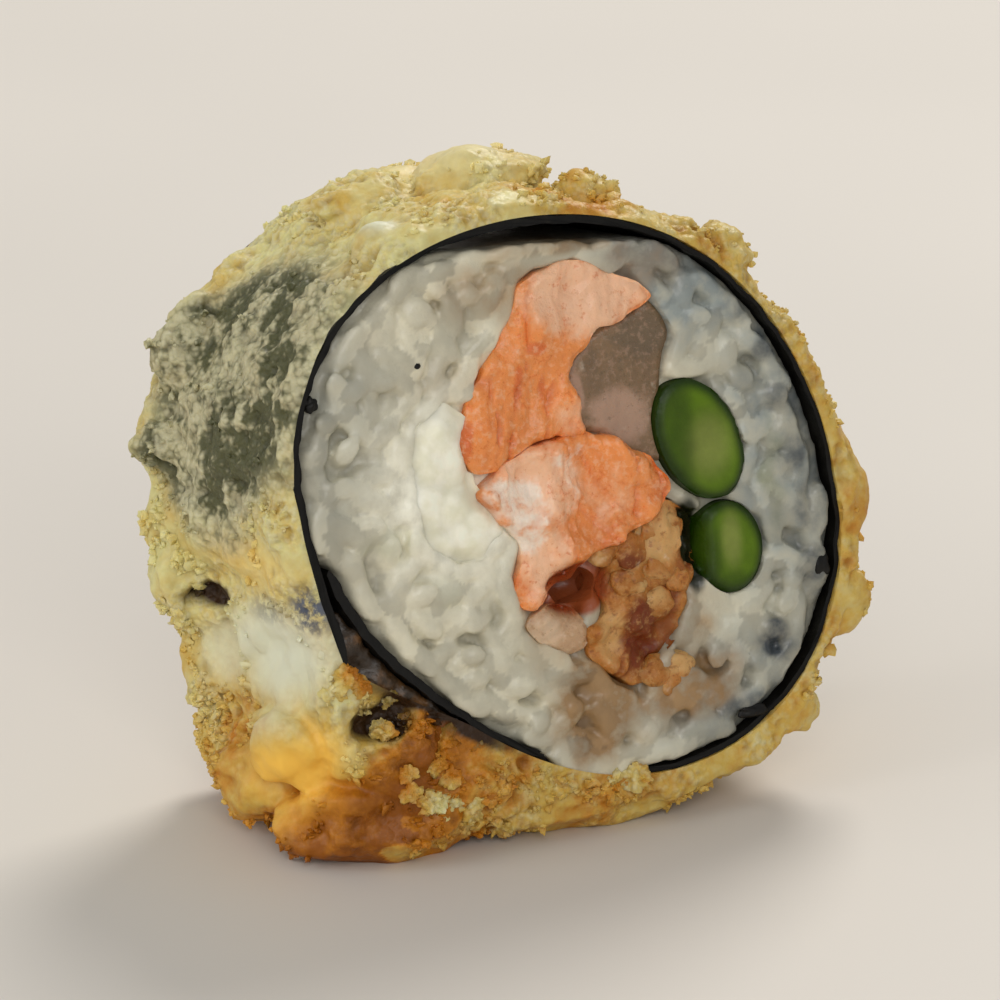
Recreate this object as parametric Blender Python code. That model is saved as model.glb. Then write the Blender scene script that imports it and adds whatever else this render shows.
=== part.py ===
"""One slice of a battered and deep-fried sushi roll, standing on its edge.

Every piece is drawn in the slice's own frame: X to the right and Z up in the
shown cut face, Y from that face (y = 0) towards the back one.  place() then
skews and leans all of them together.  Lengths are in metres.
"""

import math
import random

import bmesh
import bpy
import mathutils

MM = 0.001
GAP = 0.3 * MM                       # air kept between neighbouring pieces

# The slice as a whole
THICKNESS = 28.0 * MM                # between the two cuts
LEAN = math.radians(11.0)            # the top leans back
SKEW = -3.3 * MM / THICKNESS         # the knife ran a little off square, in X for each Y
FLOOR_BELOW_CENTRE = 34.2 * MM       # from the face's middle down to the flat underside

# The seaweed sheet: an uneven oval, wrapped once, whose outer end stands off as a flap
OVAL_LONG = 31.6 * MM
OVAL_SHORT = 25.9 * MM
OVAL_TILT = math.radians(-41.0)
OVAL_SHIFT = 0.94 * MM
OVAL_CORNERS = 0.79 * MM             # a rounded three-cornered unevenness
OVAL_CORNERS_TURN = math.radians(-65.7)
NORI_THICK = 0.9 * MM
NORI_START = math.radians(188.0)     # inner end of the sheet, under the flap
NORI_END = math.radians(568.0)       # outer end, one turn and 20 degrees later
NORI_STEPS = 76
FLAP_FROM = math.radians(532.0)
FLAP_LIFT = 3.4 * MM
TUCK_TO = math.radians(212.0)
TUCK_DEPTH = 0.75 * MM
SEAM_STEP = math.radians(7.0)        # the rice steps in under the sheet's inner end

# The rice
RICE_RECESS = 0.4 * MM               # the packed rice lies behind the cut, its grains stand out
RICE_TOP_DENT = 1.1 * MM             # the rice has shrunk from the seaweed at the top
RICE_TOP_AT = math.radians(93.0)
RICE_TOP_WIDTH = math.radians(17.0)
RICE_STEPS = 60
GRAIN_HALF = (3.0 * MM, 1.25 * MM, 1.15 * MM)
GRAIN_SIDES = 5
GRAIN_RINGS = 4
GRAIN_SPACING = 3.45 * MM
GRAIN_TRIES = 5000
GRAIN_MARGIN = 0.9 * MM
GRAIN_SINK = 0.15 * MM               # a grain's middle lies this far inside the packed rice
GRAIN_TILT = math.radians(14.0)
GRAIN_BLUNT = 1.2                    # fullness of a grain's ends

# The batter: thickness over the seaweed at angles round the slice, from +X towards +Z
CRUST_THICKNESS = (
    (0, 2.6), (18, 2.0), (40, 1.8), (60, 2.2), (90, 2.2), (108, 2.0), (128, 1.0), (150, 0.9),
    (172, 1.1), (190, 2.2), (202, 3.8), (213, 7.6), (224, 11.2), (236, 11.4), (248, 8.2),
    (262, 5.0), (280, 3.4), (296, 3.0), (312, 3.2), (327, 2.2), (340, 2.6), (350, 3.2),
)
CRUST_STEPS = 66
CRUST_ROWS = 8
CRUST_RIM_SWELL = 0.8 * MM           # the batter gathers at the back cut
CRUST_CRAG = 1.1 * MM
CRUST_CRAG_SCALE = 190.0             # crags for each metre
CRUST_RIM = 0.3 * MM                 # it stands this far past each cut
POCKET_FROM = math.radians(209.5)    # the hollow that the flap leaves under the batter
POCKET_TO = math.radians(240.0)
POCKET_DEPTH = 3.1 * MM
POCKET_CLOSING = 1.4                 # how fast it narrows away from the flap
BORE_STEPS = 90

# Lumps of batter: middle (x, y, z) and half sizes, in millimetres
CRUST_LUMPS = (
    ((-26.8, 8.0, -21.5), (4.2, 5.0, 4.6)),      # egg-yellow lump on the lower left
    ((-25.6, 15.5, -26.0), (5.4, 6.0, 5.4)),     # golden lump at the corner
    ((-20.0, 6.5, -30.0), (9.0, 7.0, 5.4)),      # browned foot, at the front
    ((-12.0, 20.0, -31.0), (10.0, 7.0, 4.5)),    # foot, at the back
    ((8.0, 18.0, -31.5), (11.0, 8.5, 4.0)),      # foot, on the right
    ((1.0, 4.5, -31.0), (11.5, 5.0, 3.4)),       # crumbly front of the underside
    ((-19.5, 0.9, -22.5), (3.8, 2.4, 3.2)),      # crumbs under the seaweed's flap
    ((-11.5, 0.8, -27.5), (4.6, 2.3, 2.6)),
    ((0.5, 14.0, 30.2), (6.5, 6.0, 3.2)),        # blob on the top
    ((-10.0, 17.0, 29.0), (5.0, 4.6, 2.6)),
    ((20.4, 3.4, 21.2), (3.0, 3.4, 2.8)),        # lumps down the right
    ((30.8, 3.0, -4.6), (3.2, 3.8, 5.0)),
    ((30.6, 3.4, -15.6), (3.2, 3.6, 3.8)),
    ((23.6, 3.2, -25.6), (3.4, 3.4, 3.2)),
    ((-28.8, 24.0, -6.0), (3.2, 4.0, 6.0)),      # gathered batter at the back of the left wall
)
SCATTERED_LUMPS = 24
SCATTERED_SIZE = (2.0 * MM, 3.6 * MM)
LUMP_CRAG = 0.28                     # share of a lump's size

# Fillings: outlines in the cut face, in millimetres
SALMON_UPPER = (
    (-2.9, 21.6), (2.6, 23.2), (6.4, 21.3), (10.9, 18.4), (8.2, 17.0), (3.8, 15.1), (1.4, 12.0),
    (2.0, 8.0), (2.0, 5.6), (-3.0, 5.5), (-7.6, 3.5), (-10.6, 3.4), (-11.3, 7.2), (-9.8, 11.2),
    (-6.6, 15.8),
)
SALMON_LOWER = (
    (-9.9, 1.6), (-5.5, 4.5), (-0.8, 5.6), (4.0, 5.6), (7.2, 3.6), (10.7, 1.2), (11.2, -1.4),
    (7.6, -4.4), (2.4, -6.8), (-2.6, -9.6), (-5.2, -11.4), (-6.5, -8.3), (-6.0, -4.2), (-8.6, -0.9),
)
SALMON_DARK = (
    (10.8, 18.0), (13.0, 14.6), (12.2, 11.8), (11.6, 8.4), (11.6, 4.0), (11.4, 1.4), (7.5, 2.2),
    (4.5, 5.0), (1.6, 6.4), (1.4, 12.0), (4.0, 15.2), (8.7, 17.2),
)
BROWNED = (
    (10.6, -1.8), (13.3, -4.2), (13.4, -8.4), (12.2, -12.1), (11.0, -15.6), (8.8, -18.2),
    (6.4, -20.5), (4.0, -20.0), (1.4, -16.9), (1.0, -14.1), (2.6, -12.2), (3.2, -8.5), (6.5, -5.2),
)
PALE_FLAKE = ((-5.6, -12.6), (-3.3, -10.9), (-0.6, -11.4), (1.2, -13.8), (0.0, -16.0), (-3.2, -15.4))
CREAM_CHEESE = (
    (-13.4, 11.0), (-10.6, 9.4), (-10.0, 4.6), (-9.0, 1.0), (-6.4, -2.0), (-6.2, -4.0),
    (-9.0, -5.0), (-12.4, -5.4), (-15.6, -3.0), (-17.6, 2.0), (-16.4, 7.8),
)
ASPARAGUS_UPPER = ((14.7, 3.3), (6.6, 4.3), 114.0)     # middle, half axes, tilt in degrees
ASPARAGUS_LOWER = ((17.1, -8.0), (4.7, 3.8), 98.0)
HOLLOW_AT = (0.4, -9.6)              # dark hollow between the lower fillings
HOLLOW_HALF = (3.2, 4.2, 2.3)
FILLING_STEPS = 24
FILLING_RINGS = (1.0, 0.72, 0.36)
ASPARAGUS_STEPS = 18
CUTTER_OVERRUN = 6.0 * MM

SEED = 41


# ---------------------------------------------------------------- outlines

def oval_radius(angle):
    """The wrapped roll's radius, before the seaweed's flap and tuck."""
    turned = angle - OVAL_TILT
    oval = OVAL_LONG * OVAL_SHORT / math.hypot(
        OVAL_SHORT * math.cos(turned), OVAL_LONG * math.sin(turned))
    return oval + OVAL_SHIFT * math.cos(angle) + OVAL_CORNERS * math.cos(
        3 * (angle - OVAL_CORNERS_TURN))


def nori_radius(angle):
    """Outer side of the sheet, for angles from its inner to its outer end."""
    tuck = max(0.0, (TUCK_TO - angle) / (TUCK_TO - NORI_START))
    lift = max(0.0, (angle - FLAP_FROM) / (NORI_END - FLAP_FROM))
    return oval_radius(angle) - TUCK_DEPTH * tuck ** 2 + FLAP_LIFT * lift ** 2


def smooth_step(share):
    share = min(1.0, max(0.0, share))
    return share * share * (3 - 2 * share)


def angle_from(angle, start):
    """The same direction, as an angle within one turn from start."""
    return start + (angle - start) % math.tau


def rice_radius(angle):
    """Outline of the rice, just inside the sheet."""
    first = angle_from(angle, NORI_START)
    bare = nori_radius(first) - NORI_THICK - GAP
    before_seam = (NORI_START + math.tau - first) / SEAM_STEP
    under_end = nori_radius(NORI_START) - NORI_THICK - GAP
    stepped = under_end + (bare - under_end) * smooth_step(before_seam - 0.15)
    off_top = (angle_from(angle, 0.0) - RICE_TOP_AT) / RICE_TOP_WIDTH
    return stepped - RICE_TOP_DENT * math.exp(-off_top ** 2)


def bore_radius(angle):
    """Inner side of the batter: the sheet, and the hollow beyond its flap."""
    turned = angle_from(angle, 0.0)
    if turned < POCKET_FROM:
        return nori_radius(min(turned + math.tau, NORI_END)) + GAP
    share = min(1.0, (turned - POCKET_FROM) / (POCKET_TO - POCKET_FROM))
    return oval_radius(angle) + GAP + POCKET_DEPTH * (1 - share) ** POCKET_CLOSING


def crust_thickness(angle):
    """Thickness between the stations, eased from one to the next."""
    degrees = math.degrees(angle_from(angle, 0.0))
    stations = CRUST_THICKNESS + ((360 + CRUST_THICKNESS[0][0], CRUST_THICKNESS[0][1]),)
    for (low, thick), (high, thick_next) in zip(stations, stations[1:]):
        if low <= degrees <= high:
            return MM * (thick + (thick_next - thick) * smooth_step((degrees - low) / (high - low)))
    raise ValueError("angle outside the stations")


def around(radius, steps, start=0.0):
    """Points of a polar outline, counter-clockwise."""
    angles = [start + math.tau * step / steps for step in range(steps)]
    return [(radius(a) * math.cos(a), radius(a) * math.sin(a)) for a in angles]


def ellipse(middle, halves, tilt, steps):
    turn = math.radians(tilt)
    points = []
    for step in range(steps):
        a = math.tau * step / steps
        u, v = halves[0] * math.cos(a), halves[1] * math.sin(a)
        points.append((MM * (middle[0] + u * math.cos(turn) - v * math.sin(turn)),
                       MM * (middle[1] + u * math.sin(turn) + v * math.cos(turn))))
    return points


def signed_area(points):
    return 0.5 * sum(a[0] * b[1] - b[0] * a[1] for a, b in zip(points, points[1:] + points[:1]))


def smooth_outline(stations, steps):
    """A closed curve through the stations, counter-clockwise, with even points."""
    fine = []
    count = len(stations)
    for i in range(count):
        p = [mathutils.Vector(stations[(i + k - 1) % count]) * MM for k in range(4)]
        for part in range(8):
            t = part / 8
            fine.append(0.5 * ((2 * p[1]) + (p[2] - p[0]) * t
                               + (2 * p[0] - 5 * p[1] + 4 * p[2] - p[3]) * t ** 2
                               + (3 * p[1] - p[0] - 3 * p[2] + p[3]) * t ** 3))
    if signed_area([tuple(p) for p in fine]) < 0:
        fine.reverse()
    lengths = [(fine[(i + 1) % len(fine)] - fine[i]).length for i in range(len(fine))]
    total = sum(lengths)
    points, walked, i = [], 0.0, 0
    for step in range(steps):
        target = total * step / steps
        while walked + lengths[i] < target:
            walked += lengths[i]
            i += 1
        share = (target - walked) / lengths[i]
        points.append(tuple(fine[i].lerp(fine[(i + 1) % len(fine)], share)))
    return points


def grown(points, distance):
    """The outline moved outwards along its normals."""
    moved = []
    count = len(points)
    for i in range(count):
        before = mathutils.Vector(points[i - 1])
        after = mathutils.Vector(points[(i + 1) % count])
        along = (after - before).normalized()
        moved.append((points[i][0] + along.y * distance, points[i][1] - along.x * distance))
    return moved


def inside(point, outline):
    """True where the point lies within a closed outline."""
    hit = False
    for a, b in zip(outline, outline[1:] + outline[:1]):
        if (a[1] > point[1]) != (b[1] > point[1]):
            crossing = a[0] + (b[0] - a[0]) * (point[1] - a[1]) / (b[1] - a[1])
            hit = hit != (point[0] < crossing)
    return hit


# ---------------------------------------------------------------- meshes

def new_object(name, bm):
    bmesh.ops.recalc_face_normals(bm, faces=bm.faces)
    mesh = bpy.data.meshes.new(name)
    bm.to_mesh(mesh)
    bm.free()
    piece = bpy.data.objects.new(name, mesh)
    bpy.context.scene.collection.objects.link(piece)
    return piece


def loft(name, rings, cap_ends=True):
    """A closed solid through rings of equally many points."""
    bm = bmesh.new()
    rows = [[bm.verts.new(point) for point in ring] for ring in rings]
    count = len(rows[0])
    for row, following in zip(rows, rows[1:]):
        for i in range(count):
            j = (i + 1) % count
            bm.faces.new((row[i], row[j], following[j], following[i]))
    if cap_ends:
        bm.faces.new(rows[0])
        bm.faces.new(rows[-1])
    return new_object(name, bm)


def prism(name, outline, front, back):
    rings = [[(x, y, z) for x, z in outline] for y in (front, back)]
    return loft(name, rings)


def towards(outline, middle, share):
    return [(middle[0] + (x - middle[0]) * share, middle[1] + (z - middle[1]) * share)
            for x, z in outline]


def relief_prism(name, outline, stand_out, height, scale, seed):
    """A filling: a prism whose two cut faces have low, uneven relief."""
    count = len(outline)
    middle = (sum(p[0] for p in outline) / count, sum(p[1] for p in outline) / count)

    def bump(x, z, side):
        place = mathutils.Vector((x * scale, z * scale, seed + 7.3 * side))
        return height * mathutils.noise.noise(place)

    def cut_ring(share, side):
        edge = 0.25 * MM if share == 1.0 else 0.0
        ring = []
        for x, z in towards(outline, middle, share):
            out = stand_out - edge + bump(x, z, side)
            ring.append((x, -out if side == 0 else THICKNESS + out, z))
        return ring

    rings = [cut_ring(share, 0) for share in reversed(FILLING_RINGS)]
    rings += [cut_ring(share, 1) for share in FILLING_RINGS]
    return loft(name, rings)


def lump(name, middle, halves, fine, seed):
    """A craggy ball of batter."""
    bm = bmesh.new()
    bmesh.ops.create_icosphere(bm, subdivisions=2 if fine else 1, radius=1.0)
    for vert in bm.verts:
        crag = mathutils.noise.noise(vert.co * 1.7 + mathutils.Vector((seed, 0.0, 0.0)))
        vert.co *= 1.0 + LUMP_CRAG * crag
        vert.co = mathutils.Vector(c * h for c, h in zip(vert.co, halves)) + middle
    return new_object(name, bm)


def ellipsoid_grain(name, middle, turn, tilt):
    bm = bmesh.new()
    bmesh.ops.create_uvsphere(bm, u_segments=GRAIN_SIDES, v_segments=GRAIN_RINGS, radius=1.0)
    for vert in bm.verts:
        if 0.1 < abs(vert.co.z) < 0.9:
            vert.co.xy *= GRAIN_BLUNT
    along = mathutils.Matrix.Rotation(math.radians(90.0), 4, "Y")
    sized = mathutils.Matrix.Diagonal((*GRAIN_HALF, 1.0))
    leaned = mathutils.Matrix.Rotation(tilt, 4, "Z")
    turned = mathutils.Matrix.Rotation(turn, 4, "Y")
    place_it = mathutils.Matrix.Translation(middle) @ turned @ leaned @ sized @ along
    bmesh.ops.transform(bm, matrix=place_it, verts=bm.verts)
    return new_object(name, bm)


def remove(pieces):
    for piece in pieces:
        mesh = piece.data
        bpy.data.objects.remove(piece)
        bpy.data.meshes.remove(mesh)


def combine(piece, others, operation, solver="EXACT"):
    """One Boolean with all the others, applied; they are then removed."""
    if not others:
        return
    operands = bpy.data.collections.new("operands")
    for other in others:
        operands.objects.link(other)
    boolean = piece.modifiers.new("join", "BOOLEAN")
    boolean.operation = operation
    boolean.operand_type = "COLLECTION"
    boolean.collection = operands
    boolean.solver = solver
    bpy.context.view_layer.update()
    evaluated = piece.evaluated_get(bpy.context.evaluated_depsgraph_get())
    mesh = bpy.data.meshes.new_from_object(evaluated)
    piece.modifiers.clear()
    old = piece.data
    piece.data = mesh
    bpy.data.meshes.remove(old)
    remove(others)
    bpy.data.collections.remove(operands)


def keep_largest_body(piece):
    """Drops loose scraps and fills what a union has sealed."""
    bm = bmesh.new()
    bm.from_mesh(piece.data)
    bmesh.ops.triangulate(bm, faces=bm.faces)
    unseen = set(bm.faces)
    bodies = []
    while unseen:
        stack = [unseen.pop()]
        body = list(stack)
        while stack:
            face = stack.pop()
            for edge in face.edges:
                for neighbour in edge.link_faces:
                    if neighbour in unseen:
                        unseen.remove(neighbour)
                        stack.append(neighbour)
                        body.append(neighbour)
        bodies.append(body)
    bodies.sort(key=len)
    scraps = [face for body in bodies[:-1] for face in body]
    bmesh.ops.delete(bm, geom=scraps, context="FACES")
    bm.to_mesh(piece.data)
    bm.free()


def cutter(outline, distance=GAP):
    """A prism past both cuts, for a neighbour's gap."""
    return prism("cutter", grown(outline, distance), -CUTTER_OVERRUN, THICKNESS + CUTTER_OVERRUN)


# ---------------------------------------------------------------- pieces

def make_nori():
    span = NORI_END - NORI_START
    angles = [NORI_START + span * step / NORI_STEPS for step in range(NORI_STEPS + 1)]
    outer = [(nori_radius(a) * math.cos(a), nori_radius(a) * math.sin(a)) for a in angles]
    inner = []
    for i, point in enumerate(outer):
        before = mathutils.Vector(outer[max(0, i - 1)])
        after = mathutils.Vector(outer[min(NORI_STEPS, i + 1)])
        along = (after - before).normalized()
        inner.append((point[0] - along.y * NORI_THICK, point[1] + along.x * NORI_THICK))
    bm = bmesh.new()
    rows = []
    for (xo, zo), (xi, zi) in zip(outer, inner):
        corners = ((xo, 0.0, zo), (xo, THICKNESS, zo), (xi, THICKNESS, zi), (xi, 0.0, zi))
        rows.append([bm.verts.new(corner) for corner in corners])
    for row, following in zip(rows, rows[1:]):
        for i in range(4):
            j = (i + 1) % 4
            bm.faces.new((row[i], row[j], following[j], following[i]))
    bm.faces.new(rows[0])
    bm.faces.new(rows[-1])
    return new_object("nori", bm)


def crust_outer(angle, depth):
    """Radius of the batter's outside at a share of the way back."""
    thick = crust_thickness(angle)
    radius = oval_radius(angle) + GAP + thick
    x, z = radius * math.cos(angle), radius * math.sin(angle)
    place_there = mathutils.Vector((x, depth * THICKNESS, z)) * CRUST_CRAG_SCALE
    crag = mathutils.noise.noise(place_there) + 0.5 * mathutils.noise.noise(place_there * 2.3)
    swell = CRUST_RIM_SWELL * smooth_step((depth - 0.6) / 0.3)
    return radius + swell + CRUST_CRAG * crag


def make_crust(draw):
    rings = []
    angles = [math.tau * step / CRUST_STEPS for step in range(CRUST_STEPS)]

    def ring(depth, y, inset):
        points = []
        for a in angles:
            radius = crust_outer(a, depth) - inset
            uneven = CRUST_RIM * mathutils.noise.noise(
                mathutils.Vector((math.cos(a) * 9, math.sin(a) * 9, 3.0 * depth)))
            points.append((radius * math.cos(a), y + uneven, radius * math.sin(a)))
        return points

    rings.append(ring(0.0, -CRUST_RIM, 1.1 * MM))
    for row in range(CRUST_ROWS):
        depth = row / (CRUST_ROWS - 1)
        edge = 0.35 * MM if row in (0, CRUST_ROWS - 1) else 0.0
        rings.append(ring(depth, depth * THICKNESS, edge))
    rings.append(ring(1.0, THICKNESS + CRUST_RIM, 1.3 * MM))
    crust = loft("batter_crust", rings)

    lumps = []
    for number, (middle, halves) in enumerate(CRUST_LUMPS):
        lumps.append(lump("lump", mathutils.Vector(middle) * MM, [h * MM for h in halves], True,
                          3.7 * number))
    for number in range(SCATTERED_LUMPS):
        angle = math.tau * (number + draw.random()) / SCATTERED_LUMPS
        depth = draw.uniform(0.08, 0.95)
        if math.radians(125) < angle < math.radians(200) and depth < 0.75:
            depth = draw.uniform(0.8, 0.95)
        size = draw.uniform(*SCATTERED_SIZE)
        radius = crust_outer(angle, depth) - 0.6 * size
        middle = (radius * math.cos(angle), depth * THICKNESS, radius * math.sin(angle))
        halves = [size * draw.uniform(0.8, 1.25) for _ in range(3)]
        lumps.append(lump("lump", mathutils.Vector(middle), halves, False, 100.0 + number))
    combine(crust, lumps, "UNION", "MANIFOLD")
    bore = prism("bore", around(bore_radius, BORE_STEPS, math.radians(0.5)), -CUTTER_OVERRUN,
                 THICKNESS + CUTTER_OVERRUN)
    combine(crust, [bore], "DIFFERENCE", "MANIFOLD")
    return crust


def scatter_grains(draw, outlines, side):
    """Grains spread evenly over one cut of the rice, clear of the fillings."""
    face = RICE_RECESS if side == 0 else THICKNESS - RICE_RECESS
    sink = GRAIN_SINK if side == 0 else -GRAIN_SINK
    blocked = [grown(outline, GRAIN_MARGIN) for outline in outlines]
    middles = []
    for _ in range(GRAIN_TRIES):
        angle = draw.uniform(0, math.tau)
        radius = OVAL_LONG * math.sqrt(draw.random())
        spot = (radius * math.cos(angle), radius * math.sin(angle))
        if radius > rice_radius(angle) - GRAIN_MARGIN:
            continue
        if any(inside(spot, outline) for outline in blocked):
            continue
        if any(math.dist(spot, other) < GRAIN_SPACING for other in middles):
            continue
        middles.append(spot)
    grains = []
    for x, z in middles:
        turn = draw.uniform(0, math.pi)
        tilt = draw.uniform(-GRAIN_TILT, GRAIN_TILT)
        grains.append(ellipsoid_grain("grain", (x, face + sink, z), turn, tilt))
    return grains


def make_rice(draw, fillings):
    rice = prism("rice", around(rice_radius, RICE_STEPS), RICE_RECESS, THICKNESS - RICE_RECESS)
    outlines = list(fillings.values())
    grains = scatter_grains(draw, outlines, 0) + scatter_grains(draw, outlines, 1)
    combine(rice, grains, "UNION", "MANIFOLD")
    rim = prism("rim", around(rice_radius, RICE_STEPS), -CUTTER_OVERRUN, THICKNESS + CUTTER_OVERRUN)
    combine(rice, [rim], "INTERSECT", "MANIFOLD")
    combine(rice, [cutter(outline) for outline in outlines] + [hollow()], "DIFFERENCE", "MANIFOLD")
    keep_largest_body(rice)
    return rice


def hollow():
    """The dark hollow between the lower fillings, open at the shown cut."""
    middle = mathutils.Vector((HOLLOW_AT[0] * MM, 0.5 * MM, HOLLOW_AT[1] * MM))
    return lump("hollow", middle, [half * MM for half in HOLLOW_HALF], True, 51.0)


def filling_outlines():
    """Each filling's outline; an earlier one keeps its form where two meet."""
    return {
        "asparagus_upper": ellipse(*ASPARAGUS_UPPER, ASPARAGUS_STEPS),
        "asparagus_lower": ellipse(*ASPARAGUS_LOWER, ASPARAGUS_STEPS),
        "salmon_upper": smooth_outline(SALMON_UPPER, FILLING_STEPS),
        "salmon_lower": smooth_outline(SALMON_LOWER, FILLING_STEPS),
        "browned_salmon": smooth_outline(BROWNED, FILLING_STEPS),
        "pale_flake": smooth_outline(PALE_FLAKE, 18),
        "salmon_dark_flesh": smooth_outline(SALMON_DARK, FILLING_STEPS),
        "cream_cheese": smooth_outline(CREAM_CHEESE, FILLING_STEPS),
    }


# How far each filling stands out of the cut, the height of its relief, and relief waves for each metre
FILLING_RELIEF = {
    "asparagus_upper": (0.35 * MM, 0.25 * MM, 180.0),
    "asparagus_lower": (0.30 * MM, 0.25 * MM, 180.0),
    "salmon_upper": (0.45 * MM, 1.00 * MM, 230.0),
    "salmon_lower": (0.60 * MM, 1.10 * MM, 260.0),
    "browned_salmon": (0.10 * MM, 1.00 * MM, 280.0),
    "pale_flake": (0.20 * MM, 0.60 * MM, 250.0),
    "salmon_dark_flesh": (-0.70 * MM, 0.60 * MM, 150.0),
    "cream_cheese": (0.15 * MM, 0.70 * MM, 120.0),
}


def make_filling(name, outlines):
    stand_out, height, scale = FILLING_RELIEF[name]
    names = list(outlines)
    piece = relief_prism(name, outlines[name], stand_out, height, scale, 5.0 * names.index(name))
    firmer = names[:names.index(name)]
    touching = [other for other in firmer if near(outlines[name], outlines[other])]
    cutters = [cutter(outlines[other]) for other in touching]
    if name in ("salmon_lower", "browned_salmon", "pale_flake"):
        cutters.append(hollow())
    combine(piece, cutters, "DIFFERENCE", "MANIFOLD")
    keep_largest_body(piece)
    return piece


def near(outline, other):
    return any(math.dist(a, b) < 3 * MM for a in outline for b in other) or any(
        inside(a, other) for a in outline)


# ---------------------------------------------------------------- finish

def place(pieces):
    """Skews and leans the slice, cuts its underside flat and stands it at the origin."""
    skew = mathutils.Matrix.Identity(4)
    skew[0][1] = SKEW
    leaned = mathutils.Matrix.Rotation(-LEAN, 4, "X")
    for piece in pieces:
        piece.data.transform(leaned @ skew)
    crust = next(piece for piece in pieces if piece.name == "batter_crust")
    deep = 20 * MM
    wide = 60 * MM
    under = prism("under", [(-wide, -deep), (wide, -deep), (wide, 0), (-wide, 0)], -wide, wide)
    under.data.transform(mathutils.Matrix.Translation((0, 0, -FLOOR_BELOW_CENTRE)))
    combine(crust, [under], "DIFFERENCE", "MANIFOLD")
    keep_largest_body(crust)
    corners = [vert.co for piece in pieces for vert in piece.data.vertices]
    middle = [(min(c[i] for c in corners) + max(c[i] for c in corners)) / 2 for i in (0, 1)]
    lowest = min(c[2] for c in corners)
    shift = mathutils.Matrix.Translation((-middle[0], -middle[1], -lowest))
    for piece in pieces:
        piece.data.transform(shift)
        piece.data.update()


MATERIALS = {
    "batter_crust": ((0.58, 0.40, 0.14), 0.45),
    "nori": ((0.006, 0.007, 0.005), 0.55),
    "rice": ((0.55, 0.54, 0.45), 0.42),
    "salmon_upper": ((0.75, 0.30, 0.13), 0.40),
    "salmon_lower": ((0.78, 0.33, 0.14), 0.40),
    "browned_salmon": ((0.40, 0.16, 0.05), 0.45),
    "pale_flake": ((0.50, 0.34, 0.24), 0.45),
    "salmon_dark_flesh": ((0.24, 0.17, 0.13), 0.42),
    "cream_cheese": ((0.72, 0.68, 0.52), 0.35),
    "asparagus_upper": ((0.09, 0.14, 0.02), 0.32),
    "asparagus_lower": ((0.10, 0.17, 0.02), 0.32),
}


def paint(piece):
    colour, roughness = MATERIALS[piece.name]
    material = bpy.data.materials.new(piece.name)
    material.use_nodes = True
    shader = material.node_tree.nodes["Principled BSDF"]
    shader.inputs["Base Color"].default_value = (*colour, 1.0)
    shader.inputs["Roughness"].default_value = roughness
    shader.inputs["Metallic"].default_value = 0.0
    piece.data.materials.clear()
    piece.data.materials.append(material)


def shade(piece):
    piece.data.shade_smooth()
    piece.data.set_sharp_from_angle(angle=math.radians(40.0))


def main():
    for old in list(bpy.data.objects):
        bpy.data.objects.remove(old)
    draw = random.Random(SEED)
    outlines = filling_outlines()
    pieces = [make_crust(draw), make_nori(), make_rice(draw, outlines)]
    pieces += [make_filling(name, outlines) for name in outlines]
    place(pieces)
    for piece in pieces:
        paint(piece)
        shade(piece)


main()
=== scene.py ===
# The looks of one battered and fried sushi roll slice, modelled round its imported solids.
#
# Every piece is shaped in the slice's own frame: X to the right and Z up in the shown
# cut face, Y from that face (y = 0) towards the back one.  stand_up() then brings it
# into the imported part's frame.  Lengths are in metres, and angles run round the roll
# from +X towards +Z.

import math
import random

import bpy
import numpy as np
from mathutils import Matrix, Vector, kdtree, noise


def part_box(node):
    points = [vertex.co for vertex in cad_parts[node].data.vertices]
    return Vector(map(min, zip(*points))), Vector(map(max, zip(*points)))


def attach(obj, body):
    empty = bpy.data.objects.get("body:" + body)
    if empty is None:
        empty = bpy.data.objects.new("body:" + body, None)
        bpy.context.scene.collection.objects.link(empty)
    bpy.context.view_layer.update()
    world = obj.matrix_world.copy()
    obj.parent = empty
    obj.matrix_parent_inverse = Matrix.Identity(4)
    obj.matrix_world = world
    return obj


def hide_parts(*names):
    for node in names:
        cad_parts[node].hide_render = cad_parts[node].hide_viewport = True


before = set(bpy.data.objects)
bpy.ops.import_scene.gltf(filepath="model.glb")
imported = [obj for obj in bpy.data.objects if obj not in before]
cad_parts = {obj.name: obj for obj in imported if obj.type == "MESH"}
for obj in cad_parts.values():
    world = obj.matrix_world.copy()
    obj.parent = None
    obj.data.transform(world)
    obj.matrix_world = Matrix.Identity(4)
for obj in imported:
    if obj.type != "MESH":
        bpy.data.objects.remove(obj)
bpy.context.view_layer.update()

bl_info = {
    "name": "Fried Sushi Roll Slice",
    "version": (1, 0, 0),
    "blender": (4, 5, 0),
    "location": "View3D > Sidebar > Sushi Roll",
    "description": "Batter, seaweed, rice grains and fillings for one slice of a fried roll",
    "category": "Object",
}

BODY = "root"
MM = 0.001
GAP = 0.3 * MM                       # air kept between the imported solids
TOUCH = 0.05 * MM                    # air left between the pieces modelled here

# The slice as a whole, as its solids have it
THICKNESS = 28.0 * MM
LEAN = math.radians(11.0)
SKEW = -3.3 * MM / THICKNESS
OVERRUN = 6.0 * MM                   # how far a cutting tool passes both cuts
SHARP = math.radians(60.0)           # edges sharper than this aren't shaded smooth

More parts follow.
